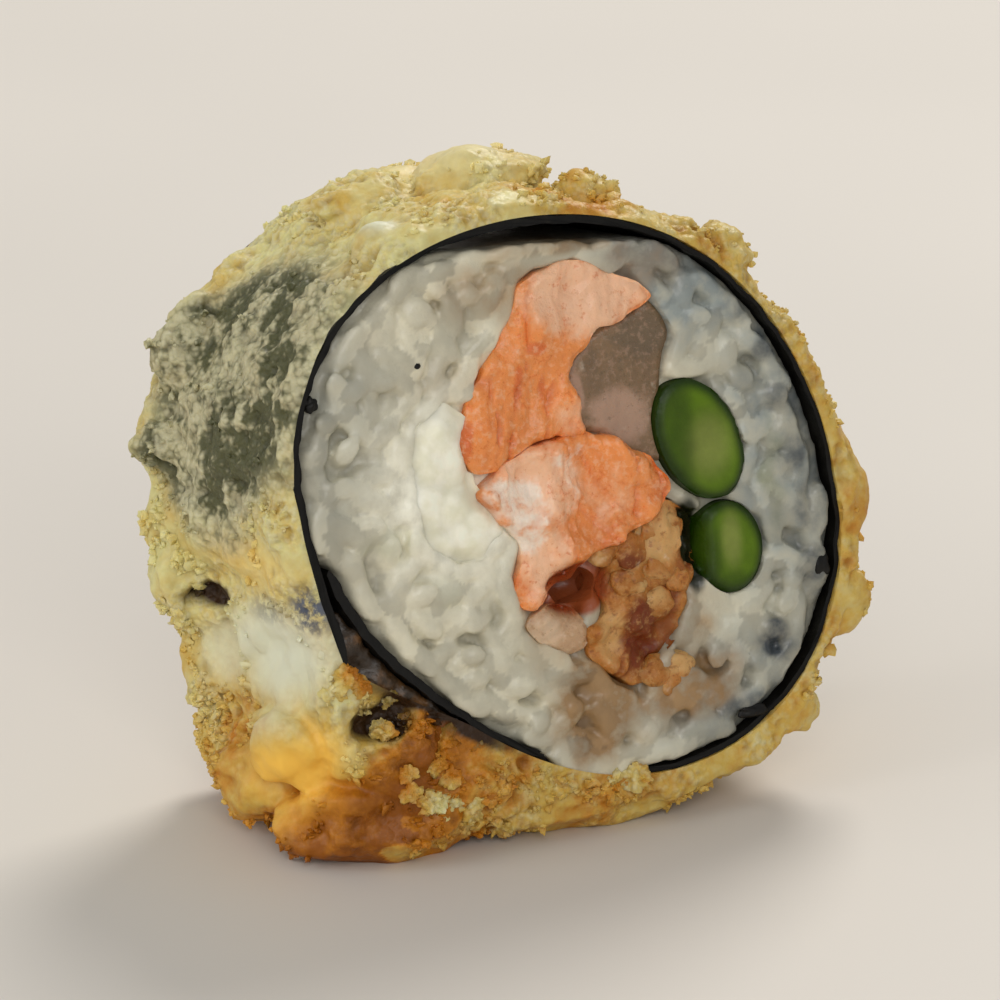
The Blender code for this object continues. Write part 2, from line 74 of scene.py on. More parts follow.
# The seaweed's outline
OVAL_LONG = 31.6 * MM
OVAL_SHORT = 25.9 * MM
OVAL_TILT = math.radians(-41.0)
OVAL_SHIFT = 0.94 * MM
OVAL_CORNERS = 0.79 * MM
OVAL_CORNERS_TURN = math.radians(-65.7)
NORI_THICK = 0.9 * MM
NORI_START = math.radians(188.0)
NORI_END = math.radians(568.0)
SOLID_STEPS = 76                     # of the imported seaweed, from end to end
FLAP_FROM = math.radians(532.0)
FLAP_LIFT = 3.4 * MM
TUCK_TO = math.radians(212.0)
TUCK_DEPTH = 0.75 * MM
SEAM_STEP = math.radians(7.0)
SEAM_SETTLES = 0.15                  # share of that step before it starts

# The rice's outline
RICE_TOP_DENT = 1.1 * MM
RICE_TOP_AT = math.radians(93.0)
RICE_TOP_WIDTH = math.radians(17.0)

# The batter's outline
CRUST_THICKNESS = (                  # degrees, millimetres over the seaweed
    (0, 2.6), (18, 2.0), (40, 1.8), (60, 2.2), (90, 2.2), (108, 2.0), (128, 1.0), (150, 0.9),
    (172, 1.1), (190, 2.2), (202, 3.8), (213, 7.6), (224, 11.2), (236, 11.4), (248, 8.2),
    (262, 5.0), (280, 3.4), (296, 3.0), (312, 3.2), (327, 2.2), (340, 2.6), (350, 3.2),
)
CRUST_RIM_SWELL = 0.8 * MM
CRUST_CRAG = 1.1 * MM
CRUST_CRAG_SCALE = 190.0
CRUST_SWELL_FROM = 0.6               # share of the way back where the rim's swell starts
CRUST_RIM = 0.3 * MM
POCKET_FROM = math.radians(209.5)
POCKET_TO = math.radians(240.0)
POCKET_DEPTH = 3.1 * MM
POCKET_CLOSING = 1.4
CRUST_LUMPS = (                      # middle and half sizes, millimetres
    ((-26.8, 8.0, -21.5), (4.2, 5.0, 4.6)),
    ((-25.6, 15.5, -26.0), (5.4, 6.0, 5.4)),
    ((-20.0, 6.5, -30.0), (9.0, 7.0, 5.4)),
    ((-12.0, 20.0, -31.0), (10.0, 7.0, 4.5)),
    ((8.0, 18.0, -31.5), (11.0, 8.5, 4.0)),
    ((1.0, 4.5, -31.0), (11.5, 5.0, 3.4)),
    ((-19.5, 0.9, -22.5), (3.8, 2.4, 3.2)),
    ((-11.5, 0.8, -27.5), (4.6, 2.3, 2.6)),
    ((0.5, 14.0, 30.2), (6.5, 6.0, 3.2)),
    ((-10.0, 17.0, 29.0), (5.0, 4.6, 2.6)),
    ((20.4, 3.4, 21.2), (3.0, 3.4, 2.8)),
    ((30.8, 3.0, -4.6), (3.2, 3.8, 5.0)),
    ((30.6, 3.4, -15.6), (3.2, 3.6, 3.8)),
    ((23.6, 3.2, -25.6), (3.4, 3.4, 3.2)),
    ((-28.8, 24.0, -6.0), (3.2, 4.0, 6.0)),
)
SCATTERED_LUMPS = 24
SCATTERED_SIZE = (2.0 * MM, 3.6 * MM)
SCATTERED_DEPTH = (0.08, 0.95)       # shares of the way back
SCATTERED_STRETCH = (0.8, 1.25)
SCATTERED_SUNK = 0.6                 # share of a lump's size that lies in the batter
BARE_WALL = (math.radians(125), math.radians(200))      # lumps lie only at its back
BARE_WALL_DEPTH = 0.75
BACK_DEPTH = (0.8, 0.95)
LUMP_CRAG = 0.28
SEED = 41

# Fillings: outlines in the cut face, in millimetres
SALMON_UPPER = (
    (-2.9, 21.6), (2.6, 23.2), (6.4, 21.3), (10.9, 18.4), (8.2, 17.0), (3.8, 15.1), (1.4, 12.0),
    (2.0, 8.0), (2.0, 5.6), (-3.0, 5.5), (-7.6, 3.5), (-10.6, 3.4), (-11.3, 7.2), (-9.8, 11.2),
    (-6.6, 15.8),
)
SALMON_LOWER = (
    (-9.9, 1.6), (-5.5, 4.5), (-0.8, 5.6), (4.0, 5.6), (7.2, 3.6), (10.7, 1.2), (11.2, -1.4),
    (7.6, -4.4), (2.4, -6.8), (-2.6, -9.6), (-5.2, -11.4), (-6.5, -8.3), (-6.0, -4.2),
    (-8.6, -0.9),
)
SALMON_DARK = (
    (10.8, 18.0), (13.0, 14.6), (12.2, 11.8), (11.6, 8.4), (11.6, 4.0), (11.4, 1.4), (7.5, 2.2),
    (4.5, 5.0), (1.6, 6.4), (1.4, 12.0), (4.0, 15.2), (8.7, 17.2),
)
BROWNED = (
    (10.6, -1.8), (13.3, -4.2), (13.4, -8.4), (12.2, -12.1), (11.0, -15.6), (8.8, -18.2),
    (6.4, -20.5), (4.0, -20.0), (1.4, -16.9), (1.0, -14.1), (2.6, -12.2), (3.2, -8.5), (6.5, -5.2),
)
PALE_FLAKE = (
    (-5.6, -12.6), (-3.3, -10.9), (-0.6, -11.4), (1.2, -13.8), (0.0, -16.0), (-3.2, -15.4),
)
CREAM_CHEESE = (
    (-13.4, 11.0), (-10.6, 9.4), (-10.0, 4.6), (-9.0, 1.0), (-6.4, -2.0), (-6.2, -4.0),
    (-9.0, -5.0), (-12.4, -5.4), (-15.6, -3.0), (-17.6, 2.0), (-16.4, 7.8),
)
ASPARAGUS_UPPER = ((14.7, 3.3), (6.6, 4.3), 114.0)     # middle, half axes, tilt in degrees
ASPARAGUS_LOWER = ((17.1, -8.0), (4.7, 3.8), 98.0)
HOLLOW_AT = (0.4, -9.6)
HOLLOW_REACH = (3.6, 2.6)


def paint(red, green, blue):
    """A colour as a screen shows it, 0 to 255, for a colour setting."""
    parts = [part / 255 for part in (red, green, blue)]
    return tuple(p / 12.92 if p <= 0.04045 else ((p + 0.055) / 1.055) ** 2.4 for p in parts)


# ---------------------------------------------------------------- settings

def length(name, default, description):
    return bpy.props.FloatProperty(name=name, default=default, description=description,
                                   unit="LENGTH", subtype="DISTANCE", precision=5)


def colour(name, default, description):
    return bpy.props.FloatVectorProperty(name=name, default=default, description=description,
                                         size=3, subtype="COLOR", min=0.0, max=1.0)


def share(name, default, description):
    return bpy.props.FloatProperty(name=name, default=default, description=description,
                                   subtype="FACTOR", min=0.0, max=1.0)


class BatterSettings(bpy.types.PropertyGroup):
    fineness: length("Fineness", 0.325 * MM, "Edge length of the batter's mesh")
    crag: length("Crag", 0.45 * MM, "Height of the coarse unevenness")
    froth: length("Froth", 0.34 * MM, "Height of the fried froth")
    crumbs: bpy.props.IntProperty(name="Crumbs", default=2600, min=0,
                                  description="Loose crumbs fried onto the batter")
    straw: colour("Straw", paint(216, 207, 142), "Barely fried batter")
    golden: colour("Golden", paint(206, 171, 80), "Fried batter")
    amber: colour("Amber", paint(192, 122, 26), "Well fried batter")
    brown: colour("Brown", paint(144, 80, 6), "Deep-fried foot")
    show_through: colour("Seaweed under Batter", paint(84, 84, 54), "Thin batter over seaweed")
    fleck: colour("Fleck", paint(208, 202, 170), "Pale tops of the froth")
    grey_froth: colour("Froth over Seaweed", paint(190, 184, 152), "Froth over the seaweed")
    raw: colour("Smooth Patch", paint(222, 223, 199), "Smooth pale batter low on the wall")
    egg: colour("Egg Yellow", paint(255, 200, 82), "A smooth yellow lump in the batter")
    stain: colour("Blue Stain", paint(84, 90, 104), "Where the seaweed has stained it")
    # painted shade: the dark inside the slits, under the seam's mouth and in its crater
    dark: colour("Dark Hole", paint(52, 32, 12), "Inside its slit, and under the seam")


class SeaweedSettings(bpy.types.PropertyGroup):
    wrinkle: length("Wrinkle", 0.2 * MM, "Height of the sheet's wrinkles")
    sheet: colour("Sheet", paint(17, 15, 11), "Wet seaweed")
    sheet_light: colour("Sheet's Fibres", paint(40, 37, 26), "Its palest fibres")
    # partly painted shade: also stands for the shadow inside the seam
    seam: colour("Seam", paint(64, 47, 28), "What has fried inside the seam")
    seam_light: colour("Seam's Crumbs", paint(120, 82, 42), "The palest of it")
    sheen: share("Sheen", 0.12, "Weight of its wet coat")


class RiceSettings(bpy.types.PropertyGroup):
    fineness: length("Fineness", 0.335 * MM, "Edge length of the grains' mesh")
    grain_long: length("Grain Length", 6.0 * MM, "Length of a cooked grain")
    grain_wide: length("Grain Width", 2.5 * MM, "Width of a cooked grain")
    spacing: length("Spacing", 2.1 * MM, "Least distance between two grains' middles")
    warm: colour("Warm White", paint(222, 215, 189), "Rice near the fillings")
    # partly painted shade: bluish grey on the rice's right side and toward the sheet
    cool: colour("Cool White", paint(150, 157, 153), "Rice stained by the seaweed")
    tan: colour("Tan Stain", paint(162, 128, 86), "Rice stained by the fish")
    olive: colour("Olive Stain", paint(142, 142, 92), "Rice stained by the asparagus")
    # partly painted shade: the rice along the sheet is darkened with it too
    smear: colour("Smear", paint(58, 64, 68), "Where wet seaweed has rubbed off on the rice")


class FillingSettings(bpy.types.PropertyGroup):
    fineness: length("Fineness", 0.34 * MM, "Edge length of the fillings' meshes")
    salmon: colour("Salmon", paint(238, 144, 72), "Cooked salmon")
    salmon_pale: colour("Pale Salmon", paint(247, 194, 154), "Its paler flakes")
    salmon_deep: colour("Deep Salmon", paint(214, 100, 36), "Its deepest orange")
    salmon_torn: colour("Torn Salmon", paint(214, 120, 66), "Where its flakes are torn")
    fat: colour("Fat", paint(252, 238, 220), "White flakes and lines in it")
    dark_flesh: colour("Dark Flesh", paint(131, 104, 74), "The fish's dark side")
    dark_pale: colour("Dark Flesh, Pale", paint(176, 142, 118), "Its paler zones")
    dark_deep: colour("Dark Flesh, Deep", paint(108, 90, 68), "Its deeper zones")
    browned: colour("Browned", paint(178, 114, 50), "Fried fish crumbs")
    browned_pale: colour("Browned, Pale", paint(204, 158, 98), "Their paler side")
    scorched: colour("Scorched", paint(108, 38, 4), "Their red-brown side")
    pale_flake: colour("Pale Flake", paint(190, 152, 114), "A pale flake under the hollow")
    flake_pale: colour("Pale Flake, Pale", paint(216, 184, 150), "Its paler zones")
    flake_deep: colour("Pale Flake, Deep", paint(160, 116, 84), "Its deeper zones")
    # painted shade: the hollow under the salmon and the slot beside the asparagus are painted with
    # these two
    hollow: colour("Hollow", paint(158, 80, 40), "The wet hollow under the salmon")
    slot: colour("Slot", paint(32, 34, 12), "The dark slot beside the asparagus")
    cheese: colour("Cream Cheese", paint(255, 251, 230), "Cream cheese")
    cheese_dull: colour("Cream Cheese, Dull", paint(240, 236, 208), "Its duller patches")
    green: colour("Green", paint(88, 116, 12), "Cut asparagus")
    # partly painted shade: also put on each spear's shaded side
    green_skin_and_shade: colour("Green Rim", paint(32, 54, 0), "Its skin")
    green_middle: colour("Green Middle", paint(126, 138, 62), "Its muted middle")


class StageSettings(bpy.types.PropertyGroup):
    camera_distance: length("Camera Distance", 693.0 * MM, "From the middle of the cut face")
    focal: bpy.props.FloatProperty(name="Focal Length", default=253.4, unit="CAMERA",
                                   description="Of the lens, in millimetres")
    key: bpy.props.FloatProperty(name="Key Light", default=6.7, unit="POWER",
                                 description="From behind on the right")
    fill: bpy.props.FloatProperty(name="Fill Light", default=3.9, unit="POWER",
                                  description="From in front")
    side: bpy.props.FloatProperty(name="Side Light", default=3.1, unit="POWER",
                                  description="From the left")
    room: bpy.props.FloatProperty(name="Room", default=0.41, min=0.0,
                                  description="Strength of the light from all round")
    floor: colour("Floor", paint(216, 209, 199), "The plain floor")


SETTINGS = {
    "batter": BatterSettings, "seaweed": SeaweedSettings, "rice": RiceSettings,
    "filling": FillingSettings, "stage": StageSettings,
}


def settings(name):
    return getattr(bpy.context.scene, "roll_" + name)


# ---------------------------------------------------------------- outlines

def oval_radius(angle):
    """The wrapped roll's radius, before the seaweed's flap and tuck."""
    turned = angle - OVAL_TILT
    oval = OVAL_LONG * OVAL_SHORT / math.hypot(
        OVAL_SHORT * math.cos(turned), OVAL_LONG * math.sin(turned))
    return oval + OVAL_SHIFT * math.cos(angle) + OVAL_CORNERS * math.cos(
        3 * (angle - OVAL_CORNERS_TURN))


def nori_radius(angle):
    """Outer side of the sheet, for angles from its inner to its outer end."""
    tuck = max(0.0, (TUCK_TO - angle) / (TUCK_TO - NORI_START))
    lift = max(0.0, (angle - FLAP_FROM) / (NORI_END - FLAP_FROM))
    return oval_radius(angle) - TUCK_DEPTH * tuck ** 2 + FLAP_LIFT * lift ** 2


def by_angle(rule, angles):
    """A rule's value at many angles, read off a fine table."""
    steps = np.linspace(0.0, math.tau, 1441)
    return np.interp(angles % math.tau, steps, [rule(step) for step in steps])


def ease(part):
    """A smooth step from 0 to 1, for a number or an array."""
    part = np.clip(part, 0.0, 1.0)
    return part * part * (3 - 2 * part)


def bell(value, middle, reach, power=2):
    """1 at the middle and near 0 beyond its reach; a higher power has squarer shoulders."""
    return np.exp(-((value - middle) / reach) ** power)


def angle_from(angle, start):
    """The same direction, as an angle within one turn from start."""
    return start + (angle - start) % math.tau


def rice_radius(angle):
    """Outline of the rice, just inside the sheet."""
    first = angle_from(angle, NORI_START)
    bare = nori_radius(first) - NORI_THICK - GAP
    before_seam = (NORI_START + math.tau - first) / SEAM_STEP
    under_end = nori_radius(NORI_START) - NORI_THICK - GAP
    stepped = under_end + (bare - under_end) * ease(before_seam - SEAM_SETTLES)
    return stepped - RICE_TOP_DENT * bell(angle_from(angle, 0.0), RICE_TOP_AT, RICE_TOP_WIDTH)


def bore_radius(angle):
    """Inner side of the batter: the sheet, and the hollow beyond its flap."""
    turned = angle_from(angle, 0.0)
    if turned < POCKET_FROM:
        return nori_radius(min(turned + math.tau, NORI_END)) + TOUCH
    part = min(1.0, (turned - POCKET_FROM) / (POCKET_TO - POCKET_FROM))
    return oval_radius(angle) + TOUCH + POCKET_DEPTH * (1 - part) ** POCKET_CLOSING


def along_stations(stations, degrees):
    """The value between two stations round the roll, eased from one to the next."""
    closed = stations + ((360 + stations[0][0], stations[0][1]),)
    for (low, value), (high, following) in zip(closed, closed[1:]):
        if low <= degrees <= high:
            return value + (following - value) * ease((degrees - low) / (high - low))
    raise ValueError("angle outside the stations")


def on_roll(angle, radius, y):
    """The point at this angle and radius round the roll, this far back."""
    return Vector((radius * math.cos(angle), y, radius * math.sin(angle)))


def crust_outer(angle, depth):
    """Radius of the batter's outside at a share of the way back."""
    thick = MM * along_stations(CRUST_THICKNESS, math.degrees(angle_from(angle, 0.0)))
    radius = oval_radius(angle) + GAP + thick
    there = on_roll(angle, radius, depth * THICKNESS) * CRUST_CRAG_SCALE
    crag = noise.noise(there) + 0.5 * noise.noise(there * 2.3)
    swell = CRUST_RIM_SWELL * ease((depth - CRUST_SWELL_FROM) / 0.3)
    return radius + swell + CRUST_CRAG * crag


def ellipse(middle, halves, tilt, steps):
    turn = math.radians(tilt)
    points = []
    for step in range(steps):
        a = math.tau * step / steps
        u, v = halves[0] * math.cos(a), halves[1] * math.sin(a)
        points.append(MM * Vector((middle[0] + u * math.cos(turn) - v * math.sin(turn),
                                   middle[1] + u * math.sin(turn) + v * math.cos(turn))))
    return points


def smooth_outline(stations, steps):
    """A closed curve through the stations, counter-clockwise, with even points."""
    fine = []
    count = len(stations)
    for i in range(count):
        p = [Vector(stations[(i + k - 1) % count]) * MM for k in range(4)]
        for part in range(8):
            t = part / 8
            fine.append(0.5 * ((2 * p[1]) + (p[2] - p[0]) * t
                               + (2 * p[0] - 5 * p[1] + 4 * p[2] - p[3]) * t ** 2
                               + (3 * p[1] - p[0] - 3 * p[2] + p[3]) * t ** 3))
    area = sum(a.x * b.y - b.x * a.y for a, b in zip(fine, fine[1:] + fine[:1]))
    if area < 0:
        fine.reverse()
    lengths = [(fine[(i + 1) % len(fine)] - fine[i]).length for i in range(len(fine))]
    total = sum(lengths)
    points, walked, i = [], 0.0, 0
    for step in range(steps):
        target = total * step / steps
        while walked + lengths[i] < target:
            walked += lengths[i]
            i += 1
        points.append(fine[i].lerp(fine[(i + 1) % len(fine)], (target - walked) / lengths[i]))
    return points


def grown(points, distances):
    """The outline moved outwards along its normals, by a distance for each point."""
    count = len(points)
    moved = []
    for i, (point, distance) in enumerate(zip(points, distances)):
        along = (points[(i + 1) % count] - points[i - 1]).normalized()
        moved.append(point + Vector((along.y, -along.x)) * distance)
    return moved


def inside(point, outline):
    """True where the point lies within a closed outline."""
    hit = False
    for a, b in zip(outline, outline[1:] + outline[:1]):
        if (a[1] > point[1]) != (b[1] > point[1]):
            crossing = a[0] + (b[0] - a[0]) * (point[1] - a[1]) / (b[1] - a[1])
            hit = hit != (point[0] < crossing)
    return hit


def sheet_angles(steps):
    """Angles from the sheet's inner end to its outer one."""
    return [NORI_START + (NORI_END - NORI_START) * step / steps for step in range(steps + 1)]


def place_matrix():
    """From the slice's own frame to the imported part's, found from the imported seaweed."""
    skew = Matrix.Identity(4)
    skew[0][1] = SKEW
    leaned = Matrix.Rotation(-LEAN, 4, "X") @ skew
    corners = []
    for angle in sheet_angles(SOLID_STEPS):
        for y in (0.0, THICKNESS):
            corners.append(leaned @ on_roll(angle, nori_radius(angle), y))
    built = Vector([min(corner[i] for corner in corners) for i in range(3)])
    return Matrix.Translation(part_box("nori")[0] - built) @ leaned


PLACE = place_matrix()


# ---------------------------------------------------------------- modelling helpers

def deselect():
    bpy.ops.object.select_all(action="DESELECT")


def only(piece):
    """Selects this piece alone, as the one that operators act on."""
    deselect()
    piece.select_set(True)
    bpy.context.view_layer.objects.active = piece


def take(name):
    """The primitive just added, with its place and turn moved into its mesh."""
    piece = bpy.context.object
    bpy.ops.object.transform_apply(location=True, rotation=True, scale=True)
    piece.name = piece.data.name = name
    return piece


def edit(piece):
    only(piece)
    bpy.ops.object.mode_set(mode="EDIT")
    bpy.ops.mesh.select_all(action="SELECT")


def leave_edit():
    bpy.ops.mesh.select_all(action="SELECT")
    bpy.ops.mesh.normals_make_consistent(inside=False)
    bpy.ops.object.mode_set(mode="OBJECT")


def disc(name, steps, front, back, rows):
    """A filled circle across the slice, drawn back in rows into a closed drum."""
    deselect()
    bpy.ops.mesh.primitive_circle_add(vertices=steps, radius=1.0, fill_type="NGON",
                                      location=(0.0, front, 0.0),
                                      rotation=(math.radians(90), 0.0, 0.0))
    piece = take(name)
    edit(piece)
    for _ in range(rows):
        bpy.ops.mesh.extrude_region_move(
            TRANSFORM_OT_translate={"value": (0.0, (back - front) / rows, 0.0)})
    leave_edit()
    return piece


def shape(piece, rule):
    """Moves every point of a piece by a rule."""
    for vert in piece.data.vertices:
        vert.co = rule(vert.co)
    piece.data.update()


def ball(name, detail, middle, halves, rule):
    """A ball shaped by a rule on its unit sphere, then sized and put in place."""
    deselect()
    bpy.ops.mesh.primitive_ico_sphere_add(subdivisions=detail, radius=1.0)
    piece = take(name)
    shape(piece, lambda co: Vector(c * h for c, h in zip(rule(co), halves)) + Vector(middle))
    return piece


def station_at(co, stations):
    """The entry of a list once round the roll that this point stands at."""
    count = len(stations)
    return stations[round(math.atan2(co.z, co.x) / math.tau * count) % count]


def polar_outline(radius, steps):
    angles = [math.tau * step / steps for step in range(steps)]
    return [Vector((radius(a) * math.cos(a), radius(a) * math.sin(a))) for a in angles]


def prism(name, outline, front, back, rows=1):
    """A drum with its round outline turned into this one, row by row."""
    piece = disc(name, len(outline), front, back, rows)

    def rule(co):
        x, z = station_at(co, outline)
        return Vector((x, co.y, z))

    shape(piece, rule)
    return piece


def join(pieces, name):
    deselect()
    for piece in pieces:
        piece.select_set(True)
    bpy.context.view_layer.objects.active = pieces[0]
    bpy.ops.object.join()
    pieces[0].name = pieces[0].data.name = name
    return pieces[0]


def apply_modifier(piece, kind, **values):
    """Adds a modifier with its values and applies it."""
    modifier = piece.modifiers.new(kind.title(), kind)
    for key, value in values.items():
        setattr(modifier, key, value)
    only(piece)
    bpy.ops.object.modifier_apply(modifier=modifier.name)


def remesh(piece, size):
    apply_modifier(piece, "REMESH", mode="VOXEL", voxel_size=size, adaptivity=0.0)


def drop(piece):
    """Takes a piece and its mesh out of the file."""
    mesh = piece.data
    bpy.data.objects.remove(piece)
    bpy.data.meshes.remove(mesh)


def cut(piece, tool):
    """Takes the tool's form out of a piece, and the tool with it."""
    apply_modifier(piece, "BOOLEAN", operation="DIFFERENCE", object=tool, solver="MANIFOLD")
    drop(tool)


def points_of(mesh, what="co"):
    flat = np.empty(len(mesh.vertices) * 3, np.float32)
    mesh.vertices.foreach_get(what, flat)
    return flat.reshape(-1, 3).astype(float)


def surface_of(mesh):
    """A mesh's points and its normals there."""
    return points_of(mesh), points_of(mesh, "normal")


def move_points(mesh, points):
    mesh.vertices.foreach_set("co", points.astype(np.float32).ravel())
    mesh.update()


def keep_values(mesh, **layers):
    """Stores one value for each point, under a name that a material reads."""
    for name, values in layers.items():
        layer = mesh.attributes.get(name) or mesh.attributes.new(name, "FLOAT", "POINT")
        layer.data.foreach_set("value", np.asarray(values, np.float32))


def noise_at(points, scale, seed=0.0):
    return np.array([noise.noise(p) for p in (points * scale + seed).tolist()])


def fractal_at(points, scale, octaves, seed=0.0):
    places = (points * scale + seed).tolist()
    return np.array([noise.fractal(place, 1.0, 2.1, octaves) for place in places])


def cells_at(points, scale, seed=0.0):
    """Distance to the nearest cell's middle, in cells."""
    return np.array([noise.voronoi(p)[0][0] for p in (points * scale + seed).tolist()])


def strongest(first, second, spots, round_roll=False):
    """The strongest of these spots at each point: their middle, reach and strength."""
    total = np.zeros(len(first))
    for (at, at_second), (reach, reach_second), strength in spots:
        off = first - at
        if round_roll:
            off = (off + 180) % 360 - 180
        away = (off / reach) ** 2 + ((second - at_second) / reach_second) ** 2
        value = strength * np.exp(-away ** 2)
        total = np.where(np.abs(value) > np.abs(total), value, total)
    return total


def dented(seed, wide, wide_scale, fine, fine_scale):
    """A rule that gives a ball wide and fine unevenness."""
    def rule(co):
        return co * (1 + wide * noise.noise(co * wide_scale + Vector((seed, 0, 0)))
                     + fine * noise.noise(co * fine_scale + Vector((0, seed, 0))))
    return rule


def bits_at_cuts(name, spots, seed_step, unevenness):
    """Small bits at both cuts, each from its middle (across, inwards, up) and half sizes."""
    bits = []
    for number, ((x, inwards, z), halves) in enumerate(spots):
        for side, y in ((1, inwards * MM), (-1, THICKNESS - inwards * MM)):
            bits.append(ball("bit", 4, (x * MM, y, z * MM), [half * MM for half in halves],
                             dented(seed_step * number + side, *unevenness)))
    return join(bits, name)


def copies(name, bases, places):
    """One mesh of many small copies: a base's number and a matrix for each."""
    arrays = []
    for base in bases:
        base.data.calc_loop_triangles()
        corners = np.array([t.vertices[:] for t in base.data.loop_triangles])
        arrays.append((points_of(base.data), corners))
    points, faces, start = [], [], 0
    for number, matrix in places:
        base_points, base_faces = arrays[number]
        m = np.array(matrix)
        points.append(base_points @ m[:3, :3].T + m[:3, 3])
        faces.append(base_faces + start)
        start += len(base_points)
    mesh = bpy.data.meshes.new(name)
    mesh.from_pydata(np.concatenate(points), [], np.concatenate(faces))
    piece = bpy.data.objects.new(name, mesh)
    bpy.context.scene.collection.objects.link(piece)
    for base in bases:
        drop(base)
    return piece


def stand_up(piece, material, slot, *nodes):
    """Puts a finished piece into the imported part's frame, paints it and ties it on."""
    piece.data.transform(PLACE)
    points = points_of(piece.data)
    points[:, 2] = np.maximum(points[:, 2], 0.0)
    move_points(piece.data, points)
    piece.data.materials.clear()
    piece.data.materials.append(material)
    only(piece)
    bpy.ops.object.shade_smooth_by_angle(angle=SHARP)
    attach(piece, BODY)
    if nodes:
        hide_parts(*nodes)


# ---------------------------------------------------------------- material helpers

def feed(tree, socket, value):
    """Links a socket to this one, or sets it to a number or a colour."""
    if isinstance(value, bpy.types.NodeSocket):
        tree.links.new(value, socket)
    elif socket.type == "RGBA":
        socket.default_value = (*value[:3], 1.0)
    else:
        socket.default_value = value


def node(tree, kind, inputs=None, **values):
    """A shader node with its settings, and with its inputs fed."""
    made = tree.nodes.new("ShaderNode" + kind)
    for key, value in values.items():
        setattr(made, key, value)
    for key, value in (inputs or {}).items():
        feed(tree, made.inputs[key], value)
    return made


def maths(tree, operation, first, second):
    return node(tree, "Math", {0: first, 1: second}, operation=operation).outputs[0]


def plus(tree, first, second):
    return maths(tree, "ADD", first, second)


def minus(tree, first, second):
    return maths(tree, "SUBTRACT", first, second)


def times(tree, first, second):
    return maths(tree, "MULTIPLY", first, second)


def around_half(tree, value, swing):
    """A value round a half, as a swing to both sides of nothing."""
    return times(tree, minus(tree, value, 0.5), swing)


def blend(tree, factor, first, second, how="MIX"):
    """Mixes two colours."""
    return node(tree, "Mix", {0: factor, 6: first, 7: second},
                data_type="RGBA", blend_type=how).outputs[2]


def tinted(tree, base, tone):
    """The colour made lighter or darker by a tone round one."""
    return blend(tree, 1.0, base, tone, "MULTIPLY")


def spread(tree, value, low, high, out_low=0.0, out_high=1.0):
    """Maps a value smoothly from one range to another."""
    made = node(tree, "MapRange", {"Value": value, "From Min": low, "From Max": high,
                                   "To Min": out_low, "To Max": out_high},
                interpolation_type="SMOOTHSTEP")
    return made.outputs[0]


def stored(tree, name):
    return node(tree, "Attribute", attribute_name=name).outputs["Fac"]


def clouds(tree, place, scale, detail=3.0, rough=0.55):
    made = node(tree, "TexNoise", {"Vector": place, "Scale": scale, "Detail": detail,
                                   "Roughness": rough})
    return made.outputs[0]


def cells(tree, place, scale):
    return node(tree, "TexVoronoi", {"Vector": place, "Scale": scale}).outputs["Distance"]


def ramp(tree, value, stops):
    made = node(tree, "ValToRGB", {"Fac": value})
    band = made.color_ramp
    while len(band.elements) < len(stops):
        band.elements.new(0.5)
    for element, (at, shade) in zip(band.elements, stops):
        element.position = at
        element.color = (*shade, 1.0)
    return made.outputs["Color"]


def new_group(name, inputs, outputs):
    """A shader node group with named sockets; returns it with its two end nodes."""
    group = bpy.data.node_groups.new(name, "ShaderNodeTree")
    for way, sockets in (("INPUT", inputs), ("OUTPUT", outputs)):
        for socket_name, kind in sockets.items():
            group.interface.new_socket(socket_name, in_out=way, socket_type="NodeSocket" + kind)
    return group, group.nodes.new("NodeGroupInput"), group.nodes.new("NodeGroupOutput")


def new_material(name):
    """An empty material: its tree, its Principled shader and the place it reads."""
    material = bpy.data.materials.new(name)
    material.use_nodes = True
    tree = material.node_tree
    return material, tree, tree.nodes["Principled BSDF"], node(tree, "TexCoord").outputs["Object"]


def finish_shader(tree, shader, base, rough, height=None, bump=0.0, soft=0.0,
                  radius=(1.0, 0.6, 0.4), soft_scale=1.0 * MM, coat=0.0, coat_rough=0.2,
                  specular=0.5):
    """Feeds the shader its colour, roughness and bump, and sets what is the same all over."""
    values = {
        "Base Color": base, "Roughness": rough, "Subsurface Weight": soft,
        "Subsurface Radius": radius, "Subsurface Scale": soft_scale, "Coat Weight": coat,
        "Coat Roughness": coat_rough, "Specular IOR Level": specular,
    }
    if height is not None:
        values["Normal"] = node(tree, "Bump", {"Height": height, "Distance": bump,
                                               "Strength": 1.0}).outputs[0]
    shader.subsurface_method = "BURLEY"
    for key, value in values.items():
        feed(tree, shader.inputs[key], value)


# ---------------------------------------------------------------- batter

# How deep the batter is fried round the roll: degrees, then 0 (straw) to 1 (dark brown)
FRYING = (
    (0, 0.38), (20, 0.34), (45, 0.32), (75, 0.30), (100, 0.22), (118, 0.14), (150, 0.10),
    (172, 0.10), (188, 0.12), (200, 0.14), (213, 0.20), (222, 0.34), (229, 0.74), (237, 0.84),
    (248, 0.70), (262, 0.42), (280, 0.40), (300, 0.38), (320, 0.36), (342, 0.36),
)
